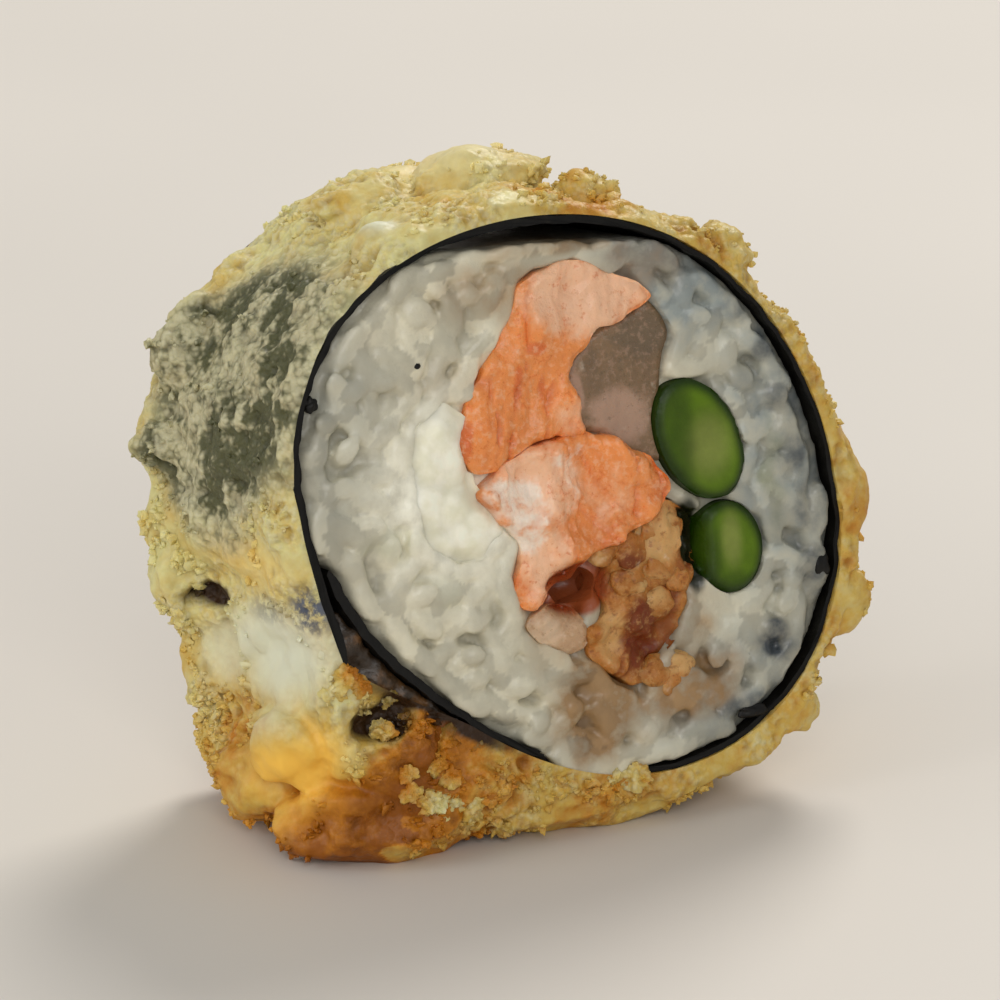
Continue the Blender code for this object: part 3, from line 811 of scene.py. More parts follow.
# Spots on the wall: (degrees round, millimetres back), (their reach), strength
SEAWEED_SHOWS = (
    ((151, 11.0), (25, 15.0), 1.0),
    ((168, 14.0), (13, 11.0), 1.0),
    ((181, 13.0), (6, 7.0), 0.5),
)
SMOOTH_BATTER = (                    # where the batter is smooth, without froth
    ((205, 8.0), (10, 9.0), 1.0),
    ((219, 7.5), (8, 7.0), 1.0),
    ((90, 17.0), (10, 7.0), 0.85),
    ((118, 6.0), (5, 3.5), 0.8),
    ((239, 7.0), (11, 8.0), 0.9),
    ((187, 10.0), (6, 6.0), 0.5),
    ((207, 18.5), (6, 4.0), 0.8),
    ((350, 3.5), (11, 5.0), 0.85),
    ((330, 3.5), (6, 4.0), 0.8),
    ((311, 3.4), (6, 4.0), 0.7),
    ((46, 3.4), (4, 3.0), 0.7),
)
RAW_BATTER = (
    ((203.5, 7.5), (8.5, 9.0), 1.0),
    ((206, 18.5), (5.5, 4.0), 0.6),
    ((118, 5.8), (3.2, 2.6), 0.9),
    ((90, 17.0), (9, 7.0), 0.42),
)
EGG_BATTER = (
    ((219.5, 6.0), (5.2, 5.5), 1.0),
    ((228, 17.0), (5, 4.5), 0.25),
    ((187, 9.0), (6, 7.0), 0.30),
    ((90, 17.0), (13, 9.0), 0.22),
)
DEEP_FRIED = (                       # adds to the frying
    ((233, 6.0), (9, 9.0), 0.24),
    ((236, 15.0), (8, 5.0), -0.10),
    ((244, 1.0), (12, 2.0), -0.30),
    ((268, 24.0), (22, 6.0), 0.16),
    ((90, 17.0), (13, 9.0), -0.25),
    ((350, 4.0), (9, 5.0), 0.12),
    ((84, 2.0), (14, 5.0), 0.14),
    ((216, 12.0), (7, 9.0), 0.16),
)
SLITS = (                            # slits torn in the wall, painted dark inside as shade
    ((195.7, 19.0), (2.2, 2.6), 1.0),
)
BLUE_STAINS = (
    ((195, 1.0), (5.0, 2.4), 1.0),
    ((196, 8.0), (3.0, 3.5), 0.45),
)
STORED_ON_BATTER = ("fried", "lace", "veil", "raw", "egg", "slit", "stain", "smooth")
BATTER_STEPS = 240                   # round the drum, and rows from cut to cut
BATTER_ROWS = 14
# Where the batter is thinner than its solid: degrees, reach, power of its shoulders
TOP_SPAN = (70.0, 18.0, 2)
THINNER_TOP = 0.8 * MM
WALL_SPAN = (136.0, 24.0, 4)
WALL_THINS_FROM = 0.55               # share of the way back
THINNER_WALL = 1.0 * MM
RIM_INSET = (1.1 * MM, 1.3 * MM)     # how far it draws in at the front and at the back cut
RIM_REACH = 1.2 * MM
# The painted shade under the seam's mouth, and the crater carved behind it, also painted dark as
# shade
SEAM_SPAN = (232.0, 20.0, 4)
CRATER_AT = (221.5, 2.7)             # degrees round, millimetres over the bore
CRATER_REACH = (4.6, 2.7)
CRATER_DEPTH = 2.2 * MM
WORN = (                             # where it is worn down: mask, cover kept, most taken
    ("lace", 0.45 * MM, 0.5 * MM), ("slit", 0.6 * MM, 2.4 * MM),
)
FIRM_OVER = 0.9 * MM                 # the relief dies out this near the bore
FIRM_UP = 1.0 * MM                   # and this near the floor
CRUMB_SIZE = (0.16 * MM, 0.34 * MM)  # the smallest, and what the largest add
CRUMB_SHAPES = (1.0, 7.0, 13.0, 19.0, 25.0, 31.0)    # a seed for each
CRUMB_STRETCH = (0.7, 1.5)
CRUMB_STANDS = 0.35                  # share of its size from the batter to its middle
CRUMBS_LOW_AT = 238                  # degrees: most of them cling low on the wall


def on_wall(degrees, back, spots):
    """The strongest of these spots at each point of the wall."""
    return strongest(degrees, back, spots, round_roll=True)


def wall_place(points):
    """Degrees round, millimetres back, cover over the bore and height over the floor."""
    angles = np.arctan2(points[:, 2], points[:, 0])
    over = np.hypot(points[:, 0], points[:, 2]) - by_angle(bore_radius, angles)
    height = points @ np.array(PLACE)[2, :3] + PLACE[2][3]
    return np.degrees(angles) % 360, points[:, 1] / MM, over, height


def batter_drum():
    """The batter as a full drum with its lumps, before the roll is taken out of it."""
    drum = disc("batter", BATTER_STEPS, -CRUST_RIM, THICKNESS + CRUST_RIM, BATTER_ROWS)

    def rule(co):
        angle = math.atan2(co.z, co.x)
        degrees = math.degrees(angle) % 360
        depth = min(1.0, max(0.0, co.y / THICKNESS))
        edge = min(co.y + CRUST_RIM, THICKNESS + CRUST_RIM - co.y)
        inset = RIM_INSET[co.y >= THICKNESS / 2] * (1 - ease(edge / RIM_REACH))
        inset += THINNER_TOP * bell(degrees, *TOP_SPAN)
        towards_back = ease((depth - WALL_THINS_FROM) / 0.3)
        inset += THINNER_WALL * bell(degrees, *WALL_SPAN) * towards_back
        radius = crust_outer(angle, depth) - inset
        uneven = CRUST_RIM * noise.noise((math.cos(angle) * 9, math.sin(angle) * 9, 3.0 * depth))
        return on_roll(angle, radius, co.y + uneven)

    shape(drum, rule)
    return join([drum] + batter_lumps(), "batter")


def batter_lumps():
    """The lumps of batter round the roll: the named ones, then the scattered ones."""
    def crag(seed):
        return lambda co: co * (1.0 + LUMP_CRAG * noise.noise(co * 1.7 + Vector((seed, 0, 0)))
                                + 0.08 * noise.noise(co * 5.0 + Vector((seed, 0, 0))))

    draw = random.Random(SEED)
    lumps = []
    for number, (middle, halves) in enumerate(CRUST_LUMPS):
        lumps.append(ball("lump", 4, Vector(middle) * MM, [h * MM for h in halves],
                          crag(3.7 * number)))
    for number in range(SCATTERED_LUMPS):
        angle = math.tau * (number + draw.random()) / SCATTERED_LUMPS
        depth = draw.uniform(*SCATTERED_DEPTH)
        if BARE_WALL[0] < angle < BARE_WALL[1] and depth < BARE_WALL_DEPTH:
            depth = draw.uniform(*BACK_DEPTH)
        size = draw.uniform(*SCATTERED_SIZE)
        radius = crust_outer(angle, depth) - SCATTERED_SUNK * size
        middle = on_roll(angle, radius, depth * THICKNESS)
        halves = [size * draw.uniform(*SCATTERED_STRETCH) for _ in range(3)]
        lumps.append(ball("lump", 3, middle, halves, crag(100.0 + number)))
    return lumps


def under_floor():
    """A block below the floor, in the slice's own frame."""
    wide, deep = 60 * MM, 20 * MM
    deselect()
    bpy.ops.mesh.primitive_cube_add(size=1.0, scale=(2 * wide, 2 * wide, deep),
                                    location=(0.0, 0.0, -deep / 2))
    block = take("under")
    block.data.transform(PLACE.inverted())
    return block


def ridges_at(points, scale, seed):
    """Thin raised ridges, from -1 between them to 1 along them."""
    return 1 - 4 * np.abs(noise_at(points, scale, seed))


def wall_masks(points, degrees, back):
    """How fried, smooth, stained, torn or thin the wall is at each point, by name."""
    angles = np.radians(degrees)
    masks = {name: on_wall(degrees, back, spots) for name, spots in (
        ("raw", RAW_BATTER), ("egg", EGG_BATTER), ("slit", SLITS), ("stain", BLUE_STAINS))}
    masks["fried"] = on_wall(degrees, back, DEEP_FRIED) + by_angle(
        lambda angle: along_stations(FRYING, math.degrees(angle)), angles)
    veil = 1.5 * on_wall(degrees, back, SEAWEED_SHOWS) + 0.25 * noise_at(points, 140.0, 8.0)
    masks["veil"] = veil = ease(veil - 0.15)
    patches = 0.75 * ease(2.4 * noise_at(points, 170.0, 12.0) + 0.15) * (1 - veil)
    masks["smooth"] = np.maximum(on_wall(degrees, back, SMOOTH_BATTER), patches)
    # the thin places over the seaweed run round the roll, a little askew
    swirl = np.stack([angles * 3.6 + points[:, 1] * 34.0, points[:, 1] * 250.0,
                      noise_at(points, 120.0, 4.0) * 0.8], axis=1)
    masks["lace"] = veil * ease((fractal_at(swirl, 1.0, 3, 1.7) + 0.18) / 0.42)
    return masks


def seam_shades(points, degrees, back, over):
    """The painted shade round the seam's mouth and in its crater, and how deep the crater is, at
    the front cut.
    """
    shade = 0.85 * bell(degrees, *SEAM_SPAN) * ease(1.4 - back / 1.2)
    shade *= ease(1.5 - over / MM + noise_at(points, 420.0, 21.0))
    crater = ((degrees - CRATER_AT[0]) / CRATER_REACH[0]) ** 2
    crater += ((over / MM - CRATER_AT[1]) / CRATER_REACH[1]) ** 2
    crater += 0.7 * noise_at(points, 420.0, 24.0)
    crater = np.exp(-np.maximum(crater, 0.0) ** 2) * ease(1.6 - back / 1.4)
    return np.maximum(shade, crater), crater


def fry(piece):
    """Gives the batter its crags and froth, and stores what its colour needs."""
    look = settings("batter")
    points, normals = surface_of(piece.data)
    degrees, back, over, height = wall_place(points)
    masks = wall_masks(points, degrees, back)
    shade, crater = seam_shades(points, degrees, back, over)
    crag = fractal_at(points, 240.0, 3, 5.0)
    ridge = 0.6 * ridges_at(points, 520.0, 2.0) + 0.4 * ridges_at(points, 1050.0, 6.0)
    pit = np.clip(cells_at(points, 760.0, 9.0) / 0.5, 0, 1) ** 2 - 1
    frothy = (1 - masks["smooth"]) * (0.8 + 0.35 * noise_at(points, 160.0, 3.0))
    out = look.crag * crag * (1 - 0.55 * masks["smooth"]) * (1 - 0.5 * masks["veil"])
    out += look.froth * frothy * (ridge + 0.8 * pit)
    for name, cover, most in WORN:
        out -= np.clip(over - cover, 0.0, most) * masks[name]
    out -= CRATER_DEPTH * crater
    loose = ease(over / FIRM_OVER) * ease(height / FIRM_UP)
    move_points(piece.data, points + normals * (out * loose)[:, None])
    # painted shade: the dark under the seam's mouth is stored with the slits' dark
    masks["slit"] = np.maximum(masks["slit"], shade)
    keep_values(piece.data, froth=frothy * (ridge + pit), **masks)


def batter_material():
    look = settings("batter")
    material, tree, shader, place = new_material("fried_batter")
    froth, fried, lace, veil, raw, egg, slit, stain, smooth = (
        stored(tree, name) for name in ("froth",) + STORED_ON_BATTER)
    wide = clouds(tree, place, 190.0, 2.0)
    mid = clouds(tree, place, 700.0, 4.0, 0.65)
    blobs = clouds(tree, place, 640.0, 2.0, 0.6)
    fine = minus(tree, clouds(tree, place, 600.0, 3.0, 0.65),
                 times(tree, cells(tree, place, 1500.0), 0.7))

    tone = plus(tree, fried, around_half(tree, wide, 0.75))
    tone = plus(tree, tone, around_half(tree, mid, 0.45))
    tone = minus(tree, tone, times(tree, froth, 0.10))
    base = ramp(tree, tone, [(0.0, look.straw), (0.36, look.golden), (0.62, look.amber),
                             (0.95, look.brown)])
    calm = minus(tree, 1.0, smooth)
    tops = times(tree, spread(tree, fine, 0.02, 0.34), calm)
    tops = times(tree, tops, spread(tree, tone, 0.65, 0.15, 0.0, 0.4))
    base = blend(tree, tops, base, look.fleck)
    base = blend(tree, times(tree, raw, 0.95), base, look.raw)
    base = blend(tree, egg, base, look.egg)
    # froth over the seaweed: pale blobs, with the wet sheet dark between them
    base = blend(tree, times(tree, veil, 0.8), base, look.grey_froth)
    bare = minus(tree, around_half(tree, blobs, 2.0), times(tree, fine, 1.3))
    bare = spread(tree, plus(tree, bare, times(tree, lace, 0.9)), -0.46, 0.62)
    base = blend(tree, times(tree, bare, veil), base, look.show_through)
    base = blend(tree, times(tree, stain, spread(tree, mid, 0.36, 0.58)), base, look.stain)
    # painted shade: the dark inside the slits, under the seam's mouth and in its crater
    base = blend(tree, maths(tree, "MINIMUM", times(tree, slit, 1.4), 1.0), base, look.dark)
    # painted shade: darker in the froth's pits and between its ridges
    base = tinted(tree, base, spread(tree, froth, -1.2, 0.3, 0.72, 1.03))
    height = times(tree, fine, plus(tree, calm, 0.10))
    finish_shader(tree, shader, base, spread(tree, mid, 0.2, 0.8, 0.36, 0.60), height, 0.26 * MM,
                  soft=0.2, radius=(1.0, 0.7, 0.3), soft_scale=1.3 * MM, coat=0.05,
                  coat_rough=0.25, specular=0.3)
    return material


def surface_spots(mesh, count, weigh, draw):
    """Points spread over a mesh's faces by weight: place, normal and a corner's number."""
    mesh.calc_loop_triangles()
    points = points_of(mesh)
    corners = np.array([t.vertices[:] for t in mesh.loop_triangles])
    a, b, c = (points[corners[:, k]] for k in range(3))
    across = np.cross(b - a, c - a)
    area = np.linalg.norm(across, axis=1) / 2
    chance = area * weigh((a + b + c) / 3)
    chosen = draw.choice(len(area), size=count, p=chance / chance.sum())
    u, v = draw.random((2, count))
    fold = u + v > 1
    u, v = np.where(fold, 1 - u, u), np.where(fold, 1 - v, v)
    spots = a[chosen] + (b - a)[chosen] * u[:, None] + (c - a)[chosen] * v[:, None]
    ways = across[chosen] / (2 * area[chosen, None] + 1e-12)
    return spots, ways, corners[chosen, 0]


def crumb_weight(points):
    """Where loose crumbs cling: in patches on the outer batter, off the smooth places."""
    degrees, back, over, height = wall_place(points)
    smooth = on_wall(degrees, back, SMOOTH_BATTER)
    veil = on_wall(degrees, back, SEAWEED_SHOWS)
    patchy = ease(0.35 + 2.2 * noise_at(points, 190.0, 31.0)) ** 1.5
    low = 0.3 + 0.7 * ease((75 - np.abs(degrees - CRUMBS_LOW_AT)) / 40)
    clear = (1 - smooth) ** 2 * (1 - 0.8 * veil) * (height > 0.8 * MM)
    return patchy * low * clear * ease((over - 0.4 * MM) / MM)


def crumb_bases():
    """A few torn crumbs, each a rough flake rather than a ball."""
    def torn(seed):
        def rule(co):
            size = 1 + 0.8 * noise.noise(co * 1.6 + Vector((seed, seed, seed)))
            return Vector((co.x * 1.2, co.y, co.z * 0.7)) * max(0.4, size)
        return rule

    bases = []
    for seed in CRUMB_SHAPES:
        deselect()
        bpy.ops.mesh.primitive_uv_sphere_add(segments=7, ring_count=5, radius=1.0)
        bases.append(take("crumb"))
        shape(bases[-1], torn(seed))
    return bases


def make_crumbs(batter):
    """Small crumbs fried onto the batter, in one mesh."""
    draw = np.random.default_rng(SEED)
    count = settings("batter").crumbs
    spots, ways, corners = surface_spots(batter.data, count, crumb_weight, draw)
    layers = {}
    for name in STORED_ON_BATTER:
        values = np.empty(len(batter.data.vertices), np.float32)
        batter.data.attributes[name].data.foreach_get("value", values)
        layers[name] = values[corners]
    bases = crumb_bases()
    each = len(bases[0].data.vertices)
    places = []
    for spot, way in zip(spots, ways):
        size = CRUMB_SIZE[0] + CRUMB_SIZE[1] * draw.random() ** 2.5
        turn = Vector(draw.normal(size=3)).to_track_quat("Z", "Y").to_matrix().to_4x4()
        stretch = Matrix.Diagonal((*(size * draw.uniform(*CRUMB_STRETCH, 3)), 1.0))
        move = Matrix.Translation(Vector(spot) + Vector(way) * size * CRUMB_STANDS)
        places.append((int(draw.integers(len(bases))), move @ turn @ stretch))
    crumbs = copies("batter_crumbs", bases, places)
    layers["froth"] = 0.1 + 0.4 * draw.random(count)
    keep_values(crumbs.data, **{name: np.repeat(v, each) for name, v in layers.items()})
    return crumbs


# ---------------------------------------------------------------- seaweed

NORI_SHARES = (                      # degrees, share of the sheet's thickness
    (0, 0.55), (30, 0.50), (60, 0.60), (80, 0.90), (100, 0.95), (125, 0.62), (160, 0.80),
    (190, 1.1), (215, 1.0), (240, 0.8), (258, 0.75), (290, 0.65), (330, 0.55),
)
SHEET_STEPS = 400                    # round the sheet, and rows from cut to cut
SHEET_ROWS = 30
SHEET_RADIUS = 30 * MM               # where its noise is read
SHEET_TAPER = math.radians(3.0)      # it thins out over this much at both ends
SHEET_ENDS = 0.35                    # to this share
CUT_REACH = 2.5 * MM                 # how far in from a cut the sheet's edge is ragged
CUT_RAGGED = 0.40 * MM
TEAR_AT = 269.0                      # degrees: where rice has pushed through the sheet's edge
TEAR_REACH = 8.0
TEAR_DEPTH = 1.9 * MM
FILLED_FROM = math.radians(197.0)    # the start of what has fried inside the seam
SEAM_STEPS = 40
SEAM_RECESS = 1.0 * MM
SEAM_MESH = 0.4 * MM
SEAM_CRAG = 0.9 * MM
SHREDS_INWARDS = 0.14                # millimetres from the cut to a shred's middle
SHREDS = (                           # seaweed caught in the cut face: middle, half sizes in mm
    ((-26.6, 12.6), (0.7, 0.8)), ((27.2, -11.2), (0.9, 1.3)),
    ((18.3, -24.9), (1.7, 0.7)), ((-15.2, 14.9), (0.35, 0.35)),
)
FRIED_IN_SEAM = (                    # crumbs at the seam's mouth: middle, half size in mm
    ((-25.6, 0.4, -14.6), 1.5), ((-24.1, 0.2, -15.6), 1.1), ((-26.6, 0.8, -15.8), 1.2),
    ((-23.4, 1.9, -18.0), 1.0), ((-20.6, 1.4, -17.4), 0.9), ((-19.0, 0.6, -22.2), 1.4),
    ((-15.4, 0.6, -22.6), 1.7), ((-12.6, 0.7, -23.6), 1.1), ((-21.6, 0.9, -20.6), 1.1),
    ((4.8, 0.1, -29.6), 1.5), ((2.2, 0.2, -29.4), 1.0), ((-2.6, 0.3, -28.8), 0.9),
    ((-19.6, 0.3, -27.0), 1.3), ((-17.6, 0.2, -28.2), 1.6), ((-15.2, 0.3, -28.6), 1.2),
    ((-13.4, 0.2, -29.4), 1.4), ((-16.4, 0.4, -30.2), 1.1), ((-11.0, 0.3, -28.2), 1.0),
    ((-19.8, 0.1, -24.8), 1.1), ((-17.2, 0.1, -24.2), 1.3), ((-15.4, 0.1, -26.2), 1.2),
    ((-12.6, 0.1, -26.4), 0.9),
)
BROWNED_CRUMBS = (-18.5, 6.5)        # of those: millimetres across, their reach
SHADED_CRUMBS = (234.0, 18.0, 4)      # of those, painted shade near the seam's mouth: degrees, their reach, power of its shoulders


def sheet_thickness(angle):
    """Thickness of the sheet, thinning out at its two ends."""
    share_here = along_stations(NORI_SHARES, math.degrees(angle_from(angle, 0.0)))
    to_end = min(angle - NORI_START, NORI_END - angle) / SHEET_TAPER
    return NORI_THICK * share_here * (SHEET_ENDS + (1 - SHEET_ENDS) * ease(to_end))


def make_seaweed():
    """The sheet, wound a little more than once round the rice."""
    look = settings("seaweed")
    angles = sheet_angles(SHEET_STEPS)
    band = [(nori_radius(a), a) for a in angles]
    band += [(nori_radius(a) - sheet_thickness(a), a) for a in reversed(angles)]
    sheet = disc("seaweed", len(band), 0.0, THICKNESS, SHEET_ROWS)

    def rule(co):
        radius, angle = station_at(co, band)
        degrees = math.degrees(angle) % 360
        at = on_roll(angle, SHEET_RADIUS, co.y)
        radius += look.wrinkle * noise.fractal(at * 380.0, 1.0, 2.0, 3)
        near_cut = ease(1 - co.y / CUT_REACH) + ease(1 - (THICKNESS - co.y) / CUT_REACH)
        torn = CUT_RAGGED * noise.fractal(at * 330.0 + Vector((4, 0, 0)), 1.0, 2.0, 4)
        pushed = TEAR_DEPTH * bell(degrees, TEAR_AT, TEAR_REACH, 4)
        torn += pushed if co.y < THICKNESS / 2 else -0.6 * pushed
        return on_roll(angle, radius, co.y + torn * near_cut)

    shape(sheet, rule)
    edit(sheet)
    leave_edit()
    return sheet


def make_shreds():
    """Torn bits of the sheet in the cut rice, set into both faces."""
    spots = [((x, SHREDS_INWARDS, z), (wide, 0.50, high)) for (x, z), (wide, high) in SHREDS]
    return bits_at_cuts("seaweed_shreds", spots, 2.3, (0.40, 1.3, 0.06, 4.0))


def make_seam_filling():
    """What has fried inside the seam, set back from the cut, its dark colour partly painted shade.
    """
    turns = [FILLED_FROM + (POCKET_TO - FILLED_FROM) * step / SEAM_STEPS
             for step in range(SEAM_STEPS + 1)]
    flap_ends = NORI_END - math.tau
    outer = [bore_radius(a) + 0.3 * MM if a > flap_ends else
             nori_radius(a + math.tau) - sheet_thickness(a + math.tau) - TOUCH for a in turns]
    inner = [nori_radius(a) + TOUCH for a in turns]
    rim = list(zip(outer, turns)) + list(zip(inner, turns))[::-1]
    band = [(r * math.cos(a), r * math.sin(a)) for r, a in rim]
    filling = prism("seam_filling", band, SEAM_RECESS, THICKNESS - SEAM_RECESS, 4)
    remesh(filling, SEAM_MESH)
    points, normals = surface_of(filling.data)
    out = SEAM_CRAG * fractal_at(points, 420.0, 4, 3.0) * np.abs(normals[:, 1])
    move_points(filling.data, points + normals * out[:, None])
    return filling


def make_seam_crumbs():
    """Crumbs fried round the seam's mouth, at both cuts, with painted shade on those near the
    bore.
    """
    spots = [(middle, (half, half, half)) for middle, half in FRIED_IN_SEAM]
    crumbs = bits_at_cuts("seam_crumbs", spots, 1.9, (0.55, 1.5, 0.35, 4.5))
    points, normals = surface_of(crumbs.data)
    degrees, _, over, _ = wall_place(points)
    fried = 0.16 + 0.45 * noise_at(points, 260.0, 3.0)
    low = ease((points[:, 2] / MM + 30.0) / 5.0)
    fried += 0.42 * bell(points[:, 0] / MM, *BROWNED_CRUMBS) * low
    # painted shade: crumbs close to the bore, inside the seam's mouth, are darker
    crumb_shade = 0.5 * bell(degrees, *SHADED_CRUMBS) * ease(1.5 - over / (1.8 * MM))
    froth = 0.5 * fractal_at(points, 900.0, 3)
    calm = np.zeros(len(points))
    keep_values(crumbs.data, **{name: calm for name in STORED_ON_BATTER})
    keep_values(crumbs.data, fried=fried, froth=froth, slit=crumb_shade)
    move_points(crumbs.data, points + normals * (froth * 0.25 * MM)[:, None])
    return crumbs


def seaweed_material():
    look = settings("seaweed")
    material, tree, shader, place = new_material("wet_seaweed")
    fibres = clouds(tree, place, 900.0, 6.0, 0.7)
    veins = cells(tree, place, 420.0)
    base = ramp(tree, fibres, [(0.30, [c * 0.45 for c in look.sheet]), (0.62, look.sheet),
                               (0.85, look.sheet_light)])
    rough = spread(tree, veins, 0.1, 0.7, 0.28, 0.55)
    height = plus(tree, fibres, times(tree, veins, 0.5))
    finish_shader(tree, shader, base, rough, height, 0.12 * MM, coat=look.sheen,
                  coat_rough=0.3, specular=0.2)
    return material


def seam_material():
    look = settings("seaweed")
    material, tree, shader, place = new_material("fried_seam")
    mist = clouds(tree, place, 420.0, 4.0)
    fine = clouds(tree, place, 1600.0, 4.0)
    # partly painted shade: the seam's dark stands in for the shadow inside it
    base = ramp(tree, mist, [(0.35, [c * 0.4 for c in look.seam]), (0.55, look.seam),
                             (0.72, look.seam_light)])
    finish_shader(tree, shader, base, spread(tree, fine, 0.3, 0.7, 0.3, 0.55), fine, 0.2 * MM,
                  coat=0.2)
    return material


# ---------------------------------------------------------------- rice

TOP_GAP = 1.9 * MM                   # the dark gap left under the sheet at the top
SLAB = 3.4 * MM                      # the grains' pieces reach this far in from both cuts
PITS = (                             # open places in the cut face: middle, reach, depth in mm
    ((HOLLOW_AT[0], HOLLOW_AT[1]), HOLLOW_REACH, 3.6),
    ((13.2, -7.2), (1.4, 4.8), 2.6),
    ((-1.0, 27.0), (8.0, 1.5), 2.2),
)
TOP_GAP_SPAN = (91.0, 22.0, 4)       # its degrees, reach and the power of its shoulders
PACKED_FROM = 1.15 * MM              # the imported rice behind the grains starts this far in
RICE_STEPS = 120                     # round its outline
LAYER_MESH = 0.6 * MM                # edge lengths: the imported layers, and the core between
CORE_MESH = 0.8 * MM
GRAIN_KINDS = 5
GRAIN_LAYERS = (                     # share of the spacing, least and most millimetres in
    (1.0, 0.40, 1.05), (1.2, 1.4, 2.1),
)
GRAIN_TIPS = (0, 8, 15, 25, 40, 62)  # degrees that a grain may point into the rice
GRAIN_TRIES = 9000
GRAIN_FOLLOWS = 2.2 * MM             # nearer an edge than this, a grain lies along it
GRAIN_SINKS = 2.2 * MM               # at most, in an open place
KNIFE_SLACK = 0.10 * MM              # grains stand out this much before the knife
KNIFE_PRESS = 0.64                   # presses in this share of what stands out further
CLEAR_OF_FILLINGS = 0.5 * MM         # between a filling and a grain's middle
OVER_CHEESE = -0.9 * MM              # grains lie over the cream cheese's edge
EDGE_GRAINS = 7                      # in the tear of the sheet
RICE_STAINS_AND_SHADE = {                      # stains and painted shade in the cut face: middle, reach in mm, strength
    "cool": (
        ((23.5, 2.0), (8.0, 20.0), 1.0), ((14.0, 21.0), (10.0, 8.0), 1.5),
        ((16.0, -22.0), (12.0, 7.0), 0.9), ((-24.0, 10.0), (5.0, 12.0), 0.4),
        ((-8.0, -25.0), (9.0, 3.0), 0.4)),
    "tan": (
        ((10.5, -20.8), (6.5, 4.0), 1.3), ((1.0, -21.8), (5.0, 5.4), 2.0),
        ((12.5, -14.0), (2.6, 4.0), 0.9), ((-6.5, 21.0), (6.0, 3.2), 0.8),
        ((0.5, 24.8), (8.0, 1.6), 1.0), ((-1.5, -14.0), (5.0, 4.0), 0.6),
        ((9.5, 21.5), (6.0, 2.8), 0.6), ((-12.0, 12.5), (4.0, 2.6), 0.35)),
    "olive": (
        ((-19.0, -2.0), (3.0, 1.6), 0.9), ((-14.0, -7.5), (2.0, 2.2), 0.55),
        ((22.5, -2.0), (1.2, 5.0), 0.5)),
    "cream": (((-12.4, 1.6), (8.4, 9.6), 1.2),),
    "smear": (                       # where wet seaweed has rubbed off; painted shade along the sheet is added to it
        ((22.4, 11.4), (1.3, 1.5), 1.0), ((23.9, 5.8), (1.3, 1.8), 0.9),
        ((24.8, 0.8), (1.4, 2.0), 0.9), ((26.0, -5.0), (1.6, 2.6), 0.8),
        ((26.4, -11.2), (2.2, 2.2), 1.1), ((21.4, -17.9), (2.2, 1.8), 1.4),
        ((17.8, -24.4), (3.0, 1.8), 1.0), ((19.8, 15.2), (1.4, 1.4), 0.7)),
}
SHADED_TOP = (((-1.0, 27.4), (9.0, 1.7), 0.6),)
SHADE_ALONG_RIGHT = (-12.0, 54.0, 4)     # painted shade along the sheet: degrees, reach, power of its shoulders
# painted shade along the sheet on the left: the direction where it is strongest
SHADE_ALONG_LEFT = math.radians(170.0)


def pits_at(points):
    """How deep the open places go at each point, from either cut."""
    return MM * strongest(points[:, 0] / MM, points[:, 2] / MM, PITS)


def pit_shades(x, z):
    """How far into the hollow and into the slot each point of the face lies, for the painted shade
    in both.
    """
    return [strongest(x, z, [(at, reach, 1.0)]) for at, reach, _ in PITS[:2]]


def rice_edge(angle):
    """Where the rice meets the sheet, as it shows, with the gap left at the top."""
    turned = angle_from(angle, NORI_START)
    if turned <= TUCK_TO:
        return rice_radius(angle)
    return (nori_radius(turned) - sheet_thickness(turned) - TOUCH
            - TOP_GAP * bell(math.degrees(angle_from(angle, 0.0)), *TOP_GAP_SPAN))


def stain_and_shade_rice(mesh, seeds=()):
    """Stores the rice's stains and painted shade, and each grain's own tone where its seeds are
    given.
    """
    points = points_of(mesh)
    x, z = points[:, 0] / MM, points[:, 2] / MM
    tint = np.zeros(len(points))
    if len(seeds):
        tree = kdtree.KDTree(len(seeds))
        for number, (spot, tone) in enumerate(seeds):
            tree.insert(spot, number)
        tree.balance()
        tint = np.array([seeds[tree.find(p)[1]][1] for p in points.tolist()])
    shaken = [line + 1.4 * noise_at(points, 330.0, seed) for line, seed in ((x, 2.0), (z, 5.0))]
    stains_and_shade = {name: strongest(*shaken, spots) for name, spots in RICE_STAINS_AND_SHADE.items()}
    angles = np.arctan2(z, x)
    to_sheet = by_angle(rice_edge, angles) / MM - np.hypot(*shaken)
    # painted shade along the sheet, on the right and on the left, stored with the smears
    right = 0.8 * bell(np.degrees(angles), *SHADE_ALONG_RIGHT) * ease(1.15 - to_sheet / 2.4)
    left = ease((np.cos(angles - SHADE_ALONG_LEFT) - 0.8) / 0.2)
    left *= 0.3 * ease(1.5 - to_sheet / 3.2)
    stains_and_shade["smear"] = np.maximum(stains_and_shade["smear"], np.maximum(right, left))
    hollow, slot = pit_shades(x, z)
    # painted shade: the gap under the sheet at the top takes the hollow's painted shade
    hollow = np.maximum(hollow, strongest(x, z, SHADED_TOP))
    # painted shade: how deep a point lies behind the cut, for darker creases
    crease = np.minimum(points[:, 1], THICKNESS - points[:, 1]) / MM
    keep_values(mesh, tint=tint, hollow=hollow, slot=slot, crease=crease, **stains_and_shade)


def filling_tool(name):
    """Cuts room for a filling, leaving what lies round it a little under its edge."""
    outline = grown(OUTLINES[name], [TOUCH - FILLINGS[name].lap * MM] * OUTLINE_STEPS)
    return prism("bore", outline, -OVERRUN, THICKNESS + OVERRUN)


def bore_for_fillings(piece):
    for name in FILLINGS:
        cut(piece, filling_tool(name))


